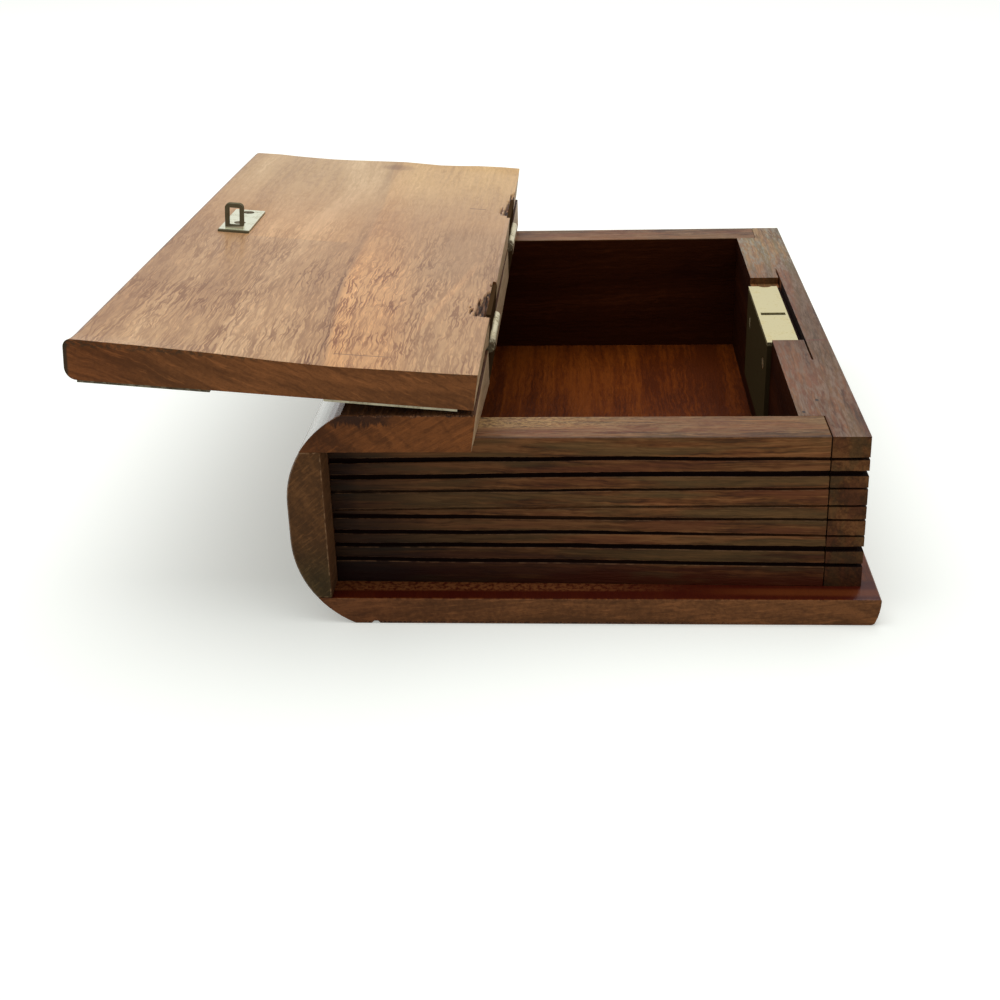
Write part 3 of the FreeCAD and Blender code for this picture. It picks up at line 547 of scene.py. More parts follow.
# %% Tell the lid's story
LID_WIDTH = 89.4
KNOT_PLACE = (40.0, 191.0)
KNOT_SIZE = (6.0, 4.0)
LID_SHADES = {
    "band": times(1.28, 1.16, 1.0, 0.75),
    "rim_light": times(1.25, 1.25, 1.2, 0.5),
    "seam": times(0.55, 0.45, 0.40, 0.35),
    # Painted sheen: the far end is lighter and greyer, where light from behind glances off it
    "far": times(1.06, 1.20, 1.27),
    "far_gold": times(1.18, 1.15, 1.01),
    "near_sides": times(1.06, 1.09, 1.12),
    "fore_end": times(0.91, 0.83, 0.78),
    "middle": times(0.93, 0.93, 0.93),
    "streak": times(1.35, 1.3, 1.25, 0.5),
    "beyond": times(1.25, 1.2, 1.1, 0.6),
    "knot": times(0.45, 0.36, 0.30),
    "scratches": paint(0.12, 0.06, 0.035, 0.7),
    "dull": times(0.78, 0.78, 0.80, 0.8),
    "edges": paint(0.045, 0.030, 0.015),
}


def lid_pores(grain):
    hinge_way, head_way, depth = grain.parts()
    gold = hinge_way.step(12.0, 24.0) * hinge_way.step(40.0, 37.0)
    return (0.75 + gold * 0.25) * (0.15 + head_way.step(140.0, 50.0) * 0.85)


def lid_bands(hinge_way, head_way, wander):
    border = 38.0 - head_way.step(70.0, -30.0) * 6.2 + head_way.step(130.0, 210.0) * 3.4 + wander * 2.0
    past_border = hinge_way - border
    faded = hinge_way - 16.0 - head_way * 0.11
    near_gold = 0.5 + head_way.step(104.0, 70.0) * 0.5
    slanted = hinge_way + head_way * 0.174 + wander * 2.0
    return {
        "band": faded.step(-5.0, 6.0) * past_border.step(0.6, -0.8) * near_gold,
        "rim_light": past_border.near(-2.4, 2.6, 0.4) * head_way.step(100.0, 66.0),
        "seam": past_border.near(0.9, 1.6, 0.1) * head_way.step(110.0, 80.0),
        # The far end: a painted sheen, lighter and greyer
        "far": head_way.step(110.0, 185.0),
        "far_gold": head_way.step(130.0, 185.0) * hinge_way.step(44.0, 30.0),
        "near_sides": head_way.step(42.0, 8.0) * hinge_way.near(38.0, 12.0, 26.0),
        "middle": head_way.near(80.0, 50.0, 20.0) * hinge_way.step(38.0, 46.0),
        "streak": slanted.near(20.1, 1.5, 0.4) * head_way.near(54.0, 32.0, 22.0),
        "beyond": head_way.step(94.6, 95.4) * head_way.step(135.0, 98.0) * hinge_way.near(57.0, 18.0, 13.0),
        "dull": hinge_way.step(24.0, 14.0) * head_way.near(92.0, 38.0, 14.0),
    }


def lid_story(start, grain, wander, colour):
    hinge_way, head_way, depth = grain.parts()
    marks = lid_bands(hinge_way, head_way, wander)
    knot = ((hinge_way - KNOT_PLACE[0] + wander * 8.0) / KNOT_SIZE[0]) ** 2.0
    knot = (knot + ((head_way - KNOT_PLACE[1]) / KNOT_SIZE[1]) ** 2.0).step(1.5, 0.0)
    trail = (hinge_way + wander * 4.0).near(40.5, 3.0, 0.5) * head_way.step(125.0, 180.0)
    marks["knot"] = knot * 0.5 + trail * 0.4
    far_scratch = head_way.near(143.0, 0.5, 0.2) * hinge_way.near(10.0, 2.6, 2.2)
    marks["scratches"] = far_scratch + head_way.near(7.5, 0.28, 0.1) * hinge_way.near(26.0, 6.5, 5.5)
    inner = mark(start, "waxed")
    marks = {name: mask * inner for name, mask in marks.items()}
    marks["fore_end"] = hinge_way.step(66.0, 80.0) * mark(start, "end")
    chipped = depth.step(1.4, 0.5) * drawn(grain, "edge_chips") * mark(start, "end")
    outline = hinge_way.step(LID_WIDTH - 1.2, LID_WIDTH - 0.6) * head_way.step(190.0, 160.0)
    marks["edges"] = (outline * 0.85 + chipped * 0.6).step(0.0, 1.0)
    return lay(colour, marks, LID_SHADES)


print(len(LID_SHADES), "marks on the lid")


# %% [markdown]
# ## The page block's stories
# The head is nearly black beside the spine, a painted shade that also darkens it towards its foot,
# and red at its foot, and each sawn row has its own lightness. Its rim is rubbed golden on the inner
# side. The fore edge's rim is dark by the lock and has a painted sheen at the tail, lighter and
# greyer, with a crack and two old nail holes.

# %% Tell the page block's stories
# Heights of the rows that differ from their neighbours, and by how much
ROW_GAINS = ((40.5, 1.2), (35.7, 0.9), (28.0, 1.1), (21.3, 0.84))
PAGE_SHADES = {
    "foot": paint(0.062, 0.0075, 0.0008),
    **{"row_%g" % height: times(gain, gain, gain) for height, gain in ROW_GAINS},
    # Painted shade beside the spine and under the rail, also darker towards the wall's foot
    "spine_shade": times(0.12, 0.11, 0.10),
    "rubbed": paint(0.46, 0.28, 0.105, 0.75),
    "handled": times(0.95, 0.98, 0.92),
    "arris": paint(0.045, 0.018, 0.010, 0.7),
}
NAIL_HOLES = ((73.9, 831.6), (69.9, 824.0))
FORE_SHADES = {
    "by_lock": times(0.72, 0.64, 0.55, 0.8),
    # Painted sheen: the rim is lighter and greyer towards the tail, where light glances off it
    "tail_sheen": times(1.40, 2.0, 2.3),
    "crack": paint(0.12, 0.02, 0.012, 0.8),
    **{"hole_%g" % along: paint(0.02, 0.010, 0.006) for across, along in NAIL_HOLES},
    "head_end": times(0.86, 0.87, 0.84),
    "low_end": times(0.55, 0.48, 0.48),
}


def page_story(start, grain, wander, colour):
    height, along, depth = grain.parts()
    rim = mark(start, "waxed")
    upright = 1 - rim
    head_rim = along.step(150.0, 100.0) * rim
    # Painted shade: darker beside the spine, under the rail, and towards the foot
    spine_shade = along.step(30.0, -30.0) * 0.40 + along.step(-30.0, -52.0) * 0.36
    spine_shade = spine_shade + height.step(26.0, 12.0) * 0.28
    rubbed = depth.step(-86.6, -83.6) * (0.12 + along.step(20.0, -22.0) * 0.88)
    marks = {
        "foot": height.step(12.5, 8.5) * (0.4 + drawn(grain, "foot_stain") * 0.5) * upright,
        **{"row_%g" % row: height.near(row, 2.2, 1.5) * upright for row, gain in ROW_GAINS},
        "spine_shade": (spine_shade + along.step(-51.0, -55.0) * 0.2).step(0.0, 1.0) * upright,
        "rubbed": rubbed * drawn(grain, "rim_specks") * head_rim,
        "handled": along.step(-10.0, 45.0) * head_rim,
        "arris": depth.step(-90.0, -90.7) * head_rim,
    }
    return lay(colour, marks, PAGE_SHADES)


def fore_story(start, grain, wander, colour):
    across, along, height = grain.parts()
    rim = mark(start, "waxed")
    head_end = along.step(810.6, 809.8) * (1 - rim)
    marks = {
        "by_lock": along.near(888.0, 45.0, 15.0) * rim,
        # Painted sheen towards the tail
        "tail_sheen": along.step(925.0, 972.0) * rim,
        "crack": (along + wander * 1.5).near(875.2, 0.45, 0.15) * across.step(76.5, 77.5) * rim,
        "head_end": head_end,
        "low_end": head_end * height.step(18.0, 9.0),
    }
    for hole_across, hole_along in NAIL_HOLES:
        hole = ((across - hole_across) / 0.6) ** 2.0 + (along - hole_along) ** 2.0
        marks["hole_%g" % hole_along] = hole.step(0.7, 0.3) * rim
    return lay(colour, marks, FORE_SHADES)


print(len(PAGE_SHADES), "marks on the head and tail,", len(FORE_SHADES), "on the fore edge")


# %% [markdown]
# ## Stories of the inside, the ledge and the rail
# The inside is darkest on the fore edge's wall, a painted shade, and brown where the spine's board
# comes out past the head. The ledge under the head is painted darker red, partly its own colour and
# partly a painted shade and dark reflection of the wall above, with a pale worn line by the wall. The
# rail is painted darker towards the spine and along the top of its end, a painted shadow of the open
# lid with a ragged lower edge.

# %% Tell the other stories
INSIDE_SHADES = {
    # Painted shade on the fore edge wall's inner face
    "fore_wall_shade": times(0.07, 0.045, 0.03, 0.5),
    "past_head": times(3.0, 6.0, 11.0),
    "joint": paint(0.24, 0.12, 0.06, 0.5),
}
LEDGE_SHADES = {
    # Darker red under the head wall: partly the wood's own red, partly painted shade and dark reflection of the
    # wall
    "head_ledge_red_and_shade": paint(0.048, 0.0035, 0.0008, 0.9),
    "lit": paint(0.18, 0.045, 0.009, 0.5),
    "by_wall": paint(0.24, 0.085, 0.025, 0.65),
}
RAIL_SHADES = {
    # Painted shade under the open lid, darker towards the spine
    "lid_shade_by_spine": times(0.70, 0.68, 0.70),
    # Painted shadow of the open lid along the top of the rail's end
    "lid_shadow_at_top": paint(0.018, 0.008, 0.005, 0.8),
}


def inside_story(start, grain, wander, colour):
    across, along, depth = grain.parts()
    marks = {
        # Painted shade on the fore edge wall's inner face
        "fore_wall_shade": along.step(700.0, 800.0),
        "past_head": along.step(-90.6, -91.4),
        "joint": (along + wander * 2.0).near(-92.0, 0.6, 0.2) * drawn(grain, "joint_wear"),
    }
    return lay(colour, marks, INSIDE_SHADES)


def ledge_story(start, grain, wander, colour):
    across, along, depth = grain.parts()
    by_wall = along.step(304.0, 305.2) * along.step(311.0, 310.0)
    marks = {
        # Darker red under the head wall, partly its own colour, partly painted shade and dark reflection of the
        # wall
        "head_ledge_red_and_shade": along.step(311.0, 309.0),
        "lit": (along - wander * 3.0).near(304.5, 2.4, 0.6) * across.step(20.0, 45.0),
        "by_wall": by_wall * drawn(grain, "ledge_specks") * across.step(30.0, -10.0),
    }
    return lay(colour, marks, LEDGE_SHADES)


def rail_story(start, grain, wander, colour):
    across, along, height = grain.parts()
    # Painted shadow of the open lid along the top of the rail's end, with a ragged lower edge
    ragged = height - 59.0 - drawn(grain, "glue") * 6.0
    lid_shadow_at_top = ragged.step(-0.4, 0.6) * across.step(13.0, 16.0) * across.step(31.0, 25.0)
    # Painted shade under the open lid, darker towards the spine
    marks = {"lid_shade_by_spine": across.step(26.0, 10.0), "lid_shadow_at_top": lid_shadow_at_top * mark(start, "end")}
    return lay(colour, marks, RAIL_SHADES)


print(len(INSIDE_SHADES) + len(LEDGE_SHADES) + len(RAIL_SHADES), "marks on the other boards")


# %% [markdown]
# ## The woods
# One kind of wood gives ten finishes, because each board was cut, polished and handled differently.
# Tones are linear colours, so they look darker here than on the screen.

# %% Mix the woods
# Dark, middle, light, pore and end tones
LID_TONES = ((0.35, 0.183, 0.080), (0.465, 0.262, 0.120), (0.58, 0.352, 0.178), (0.17, 0.066, 0.026),
             (0.20, 0.072, 0.022))
COVER_TONES = ((0.09, 0.030, 0.010), (0.17, 0.060, 0.020), (0.27, 0.11, 0.045), (0.04, 0.014, 0.006),
               (0.18, 0.069, 0.023))
STRIP_TONES = ((0.09, 0.030, 0.010), (0.17, 0.060, 0.020), (0.30, 0.13, 0.055), (0.04, 0.014, 0.006),
               (0.172, 0.056, 0.0145))
SPINE_TONES = ((0.05, 0.018, 0.007), (0.09, 0.033, 0.012), (0.16, 0.070, 0.028), (0.025, 0.010, 0.004),
               (0.128, 0.054, 0.0175))
PAGE_TONES = ((0.048, 0.016, 0.005), (0.130, 0.047, 0.0135), (0.228, 0.092, 0.031), (0.022, 0.008, 0.003),
              (0.098, 0.037, 0.0105))
INSIDE_TONES = ((0.02, 0.004, 0.001), (0.04, 0.009, 0.002), (0.08, 0.020, 0.005), (0.01, 0.003, 0.001),
                (0.02, 0.006, 0.002))
FLOOR_TONES = ((0.065, 0.0115, 0.001), (0.112, 0.022, 0.0015), (0.165, 0.037, 0.003), (0.03, 0.006, 0.001),
               (0.10, 0.03, 0.01))
GREY_GREEN = (0.094, 0.057, 0.020)
RED_BROWN = (0.14, 0.042, 0.016)
PALE_WEAR = (0.17, 0.085, 0.04)
GOLD_RUB = (0.238, 0.124, 0.055)
GREY_RUB = (0.18, 0.112, 0.072)
HARD_WAX = {"wax": 1.0, "wax_roughness": 0.12}
PAGES = {"waving": 0.5, "pore_gain": 0.3, "drift": (GREY_GREEN, RED_BROWN), "worn_tone": PALE_WEAR}

lid_wood = wood("lid_wood", LID_TONES, waving=0.7, squiggle=1.3, pith=(20.0, -150.0), wax=0.35, contrast=0.6,
                streak_gain=0.6, pore_gain=lid_pores, end_slope=-0.4, worn_tone=(0.06, 0.025, 0.012),
                story=lid_story)
outer_wood = wood("lid_outer_wood", COVER_TONES, worn_tone=(0.07, 0.03, 0.015))
cover_wood = wood("cover_wood", COVER_TONES, pith=(0.0, -140.0),
                  story=shade_story(0, -10.0, -60.0, (0.84, 0.78, 0.80)))
strip_wood = wood("strip_wood", STRIP_TONES, pith=(-53.0, -20.0), end_slope=0.6, worn_tone=(0.45, 0.17, 0.05),
                  story=rail_story, **HARD_WAX)
rail_top_wood = wood("rail_top_wood", SPINE_TONES, pith=(-53.0, -60.0))
spine_wood = wood("spine_wood", SPINE_TONES, pith=(60.0, 30.0), end_slope=1.2, drift=(GREY_GREEN, RED_BROWN),
                  worn_tone=(0.30, 0.17, 0.085), story=shade_story(0, 24.0, 10.0, (0.60, 0.85, 0.95)),
                  **HARD_WAX)
page_wood = wood("page_wood", PAGE_TONES, contrast=0.9, streak_gain=1.0, wax=0.2, rim_tone=GREY_RUB,
                 story=fore_story, **PAGES)
head_wood = wood("head_page_wood", PAGE_TONES, streak_gain=1.2, wax=0.12, rim_tone=GOLD_RUB,
                 story=page_story, **PAGES)
inside_wood = wood("inside_wood", INSIDE_TONES, waving=1.0, contrast=0.4, pore_gain=0.2, wax=0.1,
                   specular=0.03, story=inside_story)
floor_wood = wood("floor_wood", FLOOR_TONES, waving=1.0, wax=0.4, wax_roughness=0.2, specular=0.05,
                  contrast=1.1, pore_gain=0.3, story=ledge_story)
print("wood finishes:", [m.name for m in bpy.data.materials if m.name.endswith("_wood")])

# %% [markdown]
# ## Boards with worn edges
# A CAD board has perfect edges, which no sanded board has. Each board is copied into a bmesh, its
# triangles are joined back into flat faces, and its edges get a small bevel, marked as worn. Where a
# board is to be bent or chipped, it is sliced up first.

# %% Work a board
SHARP = math.radians(30)
FLAT = math.radians(0.5)
WELD = 0.001 * MM
EDGE_PROFILE = 0.6


def solid_faces(node):
    """A bmesh of a CAD node with its triangles joined into flat faces."""
    shape = bmesh.new()
    for name in ("worn", "waxed", "kerf", "fresh"):
        shape.faces.layers.float.new(name)
    data = nodes[node].data
    corners = [shape.verts.new(v.co) for v in data.vertices]
    for face in data.polygons:
        shape.faces.new([corners[i] for i in face.vertices])
    bmesh.ops.remove_doubles(shape, verts=shape.verts, dist=WELD)
    bmesh.ops.dissolve_limit(shape, angle_limit=FLAT, verts=shape.verts, edges=shape.edges)
    return shape


def break_edges(shape, width, segments=2):
    """Bevels the sharp edges and marks the faces of the bevel as worn."""
    sharp = [e for e in shape.edges if e.is_manifold and e.calc_face_angle() > SHARP]
    made = bmesh.ops.bevel(shape, geom=sharp, offset=width, offset_type="OFFSET", segments=segments,
                           profile=EDGE_PROFILE, affect="EDGES", clamp_overlap=True)
    worn = shape.faces.layers.float["worn"]
    for face in made["faces"]:
        face[worn] = 1.0


def slice_up(shape, axis, places):
    """Cuts every face at these places along x, y or z, so that it can be bent there."""
    normal = Vector([float(i == axis) for i in range(3)])
    for place in places:
        everything = shape.verts[:] + shape.edges[:] + shape.faces[:]
        bmesh.ops.bisect_plane(shape, geom=everything, dist=WELD, plane_co=normal * place, plane_no=normal)


def spread(low, high, gap):
    """Even places between two ends, about so far apart."""
    count = max(1, round((high - low) / gap))
    return [low + (high - low) * i / count for i in range(1, count)]


def flag(shape, name, rule):
    layer = shape.faces.layers.float[name]
    for face in shape.faces:
        face[layer] = float(rule(face))


# %% [markdown]
# ## From a bmesh to a piece
# The shape becomes a piece of the box: it rides on its body, takes the place of its CAD node, which
# is hidden, and gets its grain. Putting x, y and z in the order across, along and through says which
# way the fibres run.
# Faces that look along the fibres are ends.

# %% Finish a board
SMOOTH = math.radians(22)
END_GAIN = 3.0
END_START = 1.5
UPWARD = 0.7
SQUARE_ON = 0.9
ALONG_Y = (0, 1, 2)
UPRIGHT_ALONG_Y = (2, 1, 0)
ALONG_X = (2, 0, 1)
EDGE_WIDTH = 0.35 * MM
TOUCH = 0.1 * MM


def give_grain(mesh, axes, shift, turn, end_share):
    """Writes the grain in mm. Axes gives across, along and through as places in x, y and z."""
    grain = mesh.attributes.new("grain", "FLOAT_VECTOR", "POINT")
    for vertex, value in zip(mesh.vertices, grain.data):
        place = (turn @ vertex.co if turn else vertex.co) / MM
        value.vector = Vector([place[axis] for axis in axes]) + Vector(shift)
    end = mesh.attributes.new("end", "FLOAT", "FACE")
    for face, value in zip(mesh.polygons, end.data):
        value.value = end_share * min(1.0, max(0.0, abs(face.normal[axes[1]]) * END_GAIN - END_START))


def piece_from(shape, name, body, node, finishes, axes, shift, turn=None, end_share=1.0):
    """The finished piece of a node. Finishes come with rules for the faces that they are on."""
    mesh = bpy.data.meshes.new(name)
    shape.to_mesh(mesh)
    shape.free()
    for face in mesh.polygons:
        face.use_smooth = True
    mesh.set_sharp_from_angle(angle=SMOOTH)
    for index, (finish, rule) in enumerate(finishes):
        mesh.materials.append(finish)
        for face in mesh.polygons:
            if rule and rule(face):
                face.material_index = index
    give_grain(mesh, axes, shift, turn, end_share)
    piece = bpy.data.objects.new(name, mesh)
    bpy.context.scene.collection.objects.link(piece)
    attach(piece, body)
    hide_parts(node)
    print("%-14s %6d faces" % (name, len(mesh.polygons)))


def faces_up(face):
    return face.normal.z > UPWARD


def at_height(z):
    return lambda face: face.normal.z > SQUARE_ON and abs(face.center.z - z) < TOUCH


def board(node, name, body, finishes, axes, shift, is_waxed=faces_up, shaping=None):
    shape = solid_faces(node)
    break_edges(shape, EDGE_WIDTH)
    if shaping:
        shaping(shape)
    flag(shape, "waxed", is_waxed)
    piece_from(shape, name, body, node, finishes, axes, shift)


# %% [markdown]
# ## The bottom cover, the rail and the spine
# These three make the book's cover. The rail is the strip of the top cover that stays behind when
# the lid turns. Its front edge is chipped and its inner side was left raw, so it shows pale. A small
# nick in the bottom cover and the chips are pushed into the mesh, with the wood torn inside them.

# %% Dress the covers
NICK_X = -48.25
NICK_WIDTH = 1.0
NICK_DEPTH = 0.7
NICK_STEPS = (-1.0, -0.6, 0.0, 0.5, 1.0)
UNDERCUT = 1.3
UNDERCUT_REACH = 43.0
UNDERCUT_WIDTH = 6.0
RAIL_SLICE = 0.7 * MM
HEAD_SLICES = (0.8, 1.6, 2.6, UNDERCUT_REACH)
TOP_SLICES = (0.5, 1.0, 1.6)
CHIP_DEPTH = 0.45
CHIP_WAVES = 0.5
CHIP_SEED = 3.0
CHIP_PUSH = Vector((0.0, 0.35, -0.35))
CHIP_TEAR = 1.2
CHIPS_FROM = 14 * MM
RAW_SIDE = 0.8
TO_SPINE = -0.05
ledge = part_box("base_board")[1].z
base_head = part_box("base_board")[0].y
rail_low, rail_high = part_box("hinge_strip")


def nick_base(shape):
    gouge = shape.verts.layers.float.new("gouge")
    slice_up(shape, 0, [(NICK_X + NICK_WIDTH * step) * MM for step in NICK_STEPS])
    slice_up(shape, 2, [NICK_DEPTH * MM])
    for vertex in shape.verts:
        share = 1.0 - abs(vertex.co.x / MM - NICK_X) / NICK_WIDTH
        if share > 0.0 and vertex.co.z < NICK_DEPTH * MM - TOUCH / 2 and vertex.co.y < base_head + MM:
            vertex.co += Vector((0.0, 1.0, 1.0)) * NICK_DEPTH * share * MM
            vertex[gouge] = 1.0


def chip_rail(shape):
    gouge = shape.verts.layers.float.new("gouge")
    slice_up(shape, 0, spread(rail_low.x, rail_high.x, RAIL_SLICE))
    slice_up(shape, 1, [rail_low.y + d * MM for d in HEAD_SLICES])
    slice_up(shape, 2, [rail_high.z - d * MM for d in TOP_SLICES])
    flag(shape, "fresh", lambda face: face.normal.x > RAW_SIDE)
    for vertex in shape.verts:
        x, y, z = vertex.co / MM
        from_head = y - rail_low.y / MM
        from_top = rail_high.z / MM - z
        depth = CHIP_DEPTH + noise.noise(Vector((x * CHIP_WAVES, CHIP_SEED, 0.0))) - from_head - from_top
        if depth > 0.0 and vertex.co.x > rail_low.x + CHIPS_FROM:
            vertex.co += CHIP_PUSH * depth * MM
            vertex[gouge] = min(1.0, depth * CHIP_TEAR)
        near_side = max(0.0, 1.0 - (rail_high.x - vertex.co.x) / (UNDERCUT_WIDTH * MM))
        near_head = max(0.0, 1.0 - from_head / UNDERCUT_REACH)
        vertex.co.x -= UNDERCUT * near_side * near_head * from_top * MM * MM / (rail_high.z - rail_low.z)


def faces_spine(face):
    return face.normal.x < TO_SPINE


board("base_board", "bottom_cover", "case",
      [(cover_wood, None), (floor_wood, at_height(ledge))], ALONG_Y, (0, 400, 0), shaping=nick_base)
board("hinge_strip", "hinge_rail", "case",
      [(strip_wood, None), (rail_top_wood, at_height(rail_high.z))], ALONG_Y, (70, -300, 13),
      faces_spine, chip_rail)
board("spine_board", "spine_back", "case",
      [(spine_wood, None), (inside_wood, lambda face: face.normal.x > SQUARE_ON)],
      UPRIGHT_ALONG_Y, (0, 0, 40), faces_spine)

# %% [markdown]
# ## How the lid was hurt
# Somebody forced the lid once: the wood over both hinges is torn out, deepest at the edge itself, with
# a ragged outline. The board has also warped, so its head and tail edges curl. A rise stays past the
# walls that the lid closes on. All is worked out in the closed pose, where the lid lies flat.

# %% Say where the lid is torn and curled
hinge = next(joint for joint in frame["joints"] if joint["name"] == "lid_hinge")
hinge_place = Vector(hinge["pos_m"])
closing = (Matrix.Translation(hinge_place)
           @ Matrix.Rotation(math.radians(hinge["range_deg"][1]), 4, Vector(hinge["axis"]))
           @ Matrix.Translation(-hinge_place))
# Where each tear starts and ends along the hinge edge, its width and its depth
TEARS = [(39.0, 70.0, 4.4, 2.6), (137.0, 169.0, 2.6, 2.0)]
# Waves per mm from the hinge edge and along it, and a seed
RAGGED = (1.1, 0.12, 0.0)
FINE_RAGGED = (2.2, 0.35, 4.0)
SPLINTERED = (2.6, 0.12, 9.0)
LEAST_TEAR = 0.6
# How far the inner face rises at the head and tail edges: places from the hinge edge and heights
HEAD_CURL = ((0.0, -0.3), (6.5, -0.5), (17.0, -0.6), (30.0, -0.9), (44.0, -0.55), (55.0, 0.0), (71.0, 0.5),
             (90.0, 0.85))
TAIL_CURL = ((0.0, 1.0), (11.0, 1.1), (17.0, 0.6), (25.0, 0.15), (38.0, 0.4), (49.0, 0.0), (60.0, -0.45),
             (72.0, -0.4), (82.0, 0.0), (90.0, -0.2))
RISE_REACH = 7.6
HOLLOW_REACH = 45.0


def tear_depth(hinge_way, head_way):
    """How deep the wood is torn out, in mm, so far from the hinge edge and from the head."""
    def rough(waves):
        return noise.noise(Vector((hinge_way * waves[0], head_way * waves[1], start + waves[2])))

    deepest = 0.0
    for start, end, width, depth in TEARS:
        along = (head_way - start) / (end - start)
        if 0.0 < along < 1.0:
            ragged = rough(RAGGED) + 0.4 * rough(FINE_RAGGED)
            reach = (LEAST_TEAR + width * (1.0 - along) ** 1.2) * (1.0 + 0.8 * ragged)
            fade = min(1.0, along * 9.0, (1.0 - along) * 6.0)
            if hinge_way < reach:
                splinter = 0.55 + 0.45 * rough(SPLINTERED)
                deepest = max(deepest, depth * (1.0 - hinge_way / reach) ** 0.6 * fade * splinter)
    return deepest


def curl_at(curl, hinge_way, edge_way):
    """How far one edge of the lid curls. A rise stays past the wall it closes on, a hollow may go on."""
    for (low, first), (high, last) in zip(curl, curl[1:]):
        if hinge_way <= high:
            height = first + (last - first) * max(0.0, hinge_way - low) / (high - low)
            reach = RISE_REACH if height > 0.0 else HOLLOW_REACH
            return height * max(0.0, 1.0 - edge_way / reach) ** 2.0
    return 0.0


print("lid closes by", hinge["range_deg"][1], "degrees;", len(TEARS), "tears")

# %% [markdown]
# ## The lid
# The lid is cut into small squares along the tears, and their corners are pushed in. Its hinge edge was
# planed a little off square, except at the hinges' leaves. The inner face and the hinge edge show the
# light wood, and the outer side was stained like the covers.

# %% Dress the lid
TEAR_MARGIN = 2.0
TEAR_SLICE = 0.5
EDGE_SLICES = (1.0, 2.0, 3.0, 4.0, 5.5, RISE_REACH, 12.0, 18.0, 26.0, 35.0)
HINGE_SLICES = spread(0.0, 6.4, 0.32)
BROAD_SLICES = spread(8.0, 86.0, 6.0)
PLANED = 0.5
PLANED_WIDTH = 6.0
LEAF_MARGIN = 3.0 * MM
INNER_FACE = 0.6
OUTER_FACE = -0.3
FORE_SIDE = -0.15
HINGE_REACHES = [[side.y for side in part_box(name)]
                 for name in ("front_hinge_lid_leaf", "rear_hinge_lid_leaf")]
lid_low, lid_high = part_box("lid_board")
lid_closed = [closing @ v.co for v in nodes["lid_board"].data.vertices]
lid_hinge_x = min(place.x for place in lid_closed)
lid_under = min(place.z for place in lid_closed)
lid_thickness = max(place.z for place in lid_closed) - lid_under
lid_length = (lid_high.y - lid_low.y) / MM
opening = closing.to_3x3().inverted()
inward = (opening @ Vector((0.0, 0.0, -1.0))).normalized()
fore_way = opening @ Vector((1.0, 0.0, 0.0))


def is_outer(face):
    return face.normal.dot(inward) < OUTER_FACE or face.normal.x < FORE_SIDE


def off_the_hinges(y):
    """0 along a hinge's leaf, rising to 1 a little way past its ends."""
    return min(min(1.0, max(low - y, y - high, 0.0) / LEAF_MARGIN) for low, high in HINGE_REACHES)


shape = solid_faces("lid_board")
break_edges(shape, EDGE_WIDTH)
gouge = shape.verts.layers.float.new("gouge")
slice_up(shape, 1, [lid_low.y + d * MM for start, end, width, depth in TEARS
                    for d in spread(start - TEAR_MARGIN, end + TEAR_MARGIN, TEAR_SLICE)])
for d in EDGE_SLICES:
    slice_up(shape, 1, [lid_low.y + d * MM, lid_high.y - d * MM])
slice_up(shape, 0, [lid_high.x - d * MM for d in HINGE_SLICES + BROAD_SLICES])
for vertex in shape.verts:
    closed = closing @ vertex.co
    hinge_way = (closed.x - lid_hinge_x) / MM
    head_way = (closed.y - lid_low.y) / MM
    outward = (closed.z - lid_under) / lid_thickness
    curl = curl_at(HEAD_CURL, hinge_way, head_way) + curl_at(TAIL_CURL, hinge_way, lid_length - head_way)
    vertex.co += inward * curl * (1.0 - outward) * MM
    if closed.z - lid_under < EDGE_WIDTH:
        depth = tear_depth(hinge_way, head_way)
        vertex.co -= inward * depth * MM
        vertex[gouge] = min(1.0, depth)
    planed = max(0.0, 1.0 - hinge_way / PLANED_WIDTH) * outward
    vertex.co += fore_way * PLANED * planed * off_the_hinges(closed.y) * MM
flag(shape, "fresh", lambda face: face.normal.x > RAW_SIDE)
flag(shape, "waxed", lambda face: face.normal.dot(inward) > INNER_FACE)
piece_from(shape, "lid_cover", "lid", "lid_board", [(lid_wood, None), (outer_wood, is_outer)],
           ALONG_Y, (-lid_hinge_x / MM, -lid_low.y / MM, -lid_under / MM), closing)

# %% [markdown]
# ## Page lines sawn by hand
# The CAD cuts eight even grooves round the page block. On the real box a back saw ran them by eye:
# they slant, two meet, and some are wide or only scratched. The tables say where each line went, and
# heights on the even grooves are moved there.

# %% Say where the saw went
LINE_TOP = 37.9
LINE_PITCH = 3.7714
CAD_KERF = (0.5, 1.1, 0.5, 0.5, 1.1, 0.5, 1.1, 1.1)
LINES = len(CAD_KERF)
# From the top line down, at the spine, midway and at the fore edge: heights, widths and boldness
SAWN_AT = ((37.3, 33.2, 29.5, 25.0, 23.6, 19.6, 16.2, 12.5),
           (37.75, 33.8, 30.15, 25.9, 23.2, 19.55, 16.3, 12.3),
           (37.6, 34.1, 30.5, 26.4, 23.0, 19.1, 15.85, 11.85))
SAWN_WIDE = ((1.2, 1.1, 0.6, 0.3, 1.2, 1.0, 1.0, 1.0),
             (1.0, 1.1, 0.6, 0.5, 0.8, 0.9, 1.1, 0.9),
             (0.7, 1.3, 0.5, 0.5, 0.5, 0.5, 1.3, 0.9))
SAWN_BOLD = ((0.9, 1.0, 0.45, 0.2, 0.95, 0.95, 1.0, 0.95),
             (0.9, 1.0, 0.65, 0.25, 0.6, 0.85, 1.0, 0.7),
             (0.6, 1.0, 0.45, 0.4, 0.45, 0.45, 1.0, 0.9))
# How far a line strays, in mm, its waves per mm, and the seeds for each line and for the whole wall
WOBBLE = (0.18, 0.05, 7.3, 0.0)
RAGGED_LIP = (0.12, 0.6, 3.1, 5.0)
wall_low, wall_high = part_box("front_wall")
fore_low, fore_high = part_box("fore_edge_wall")


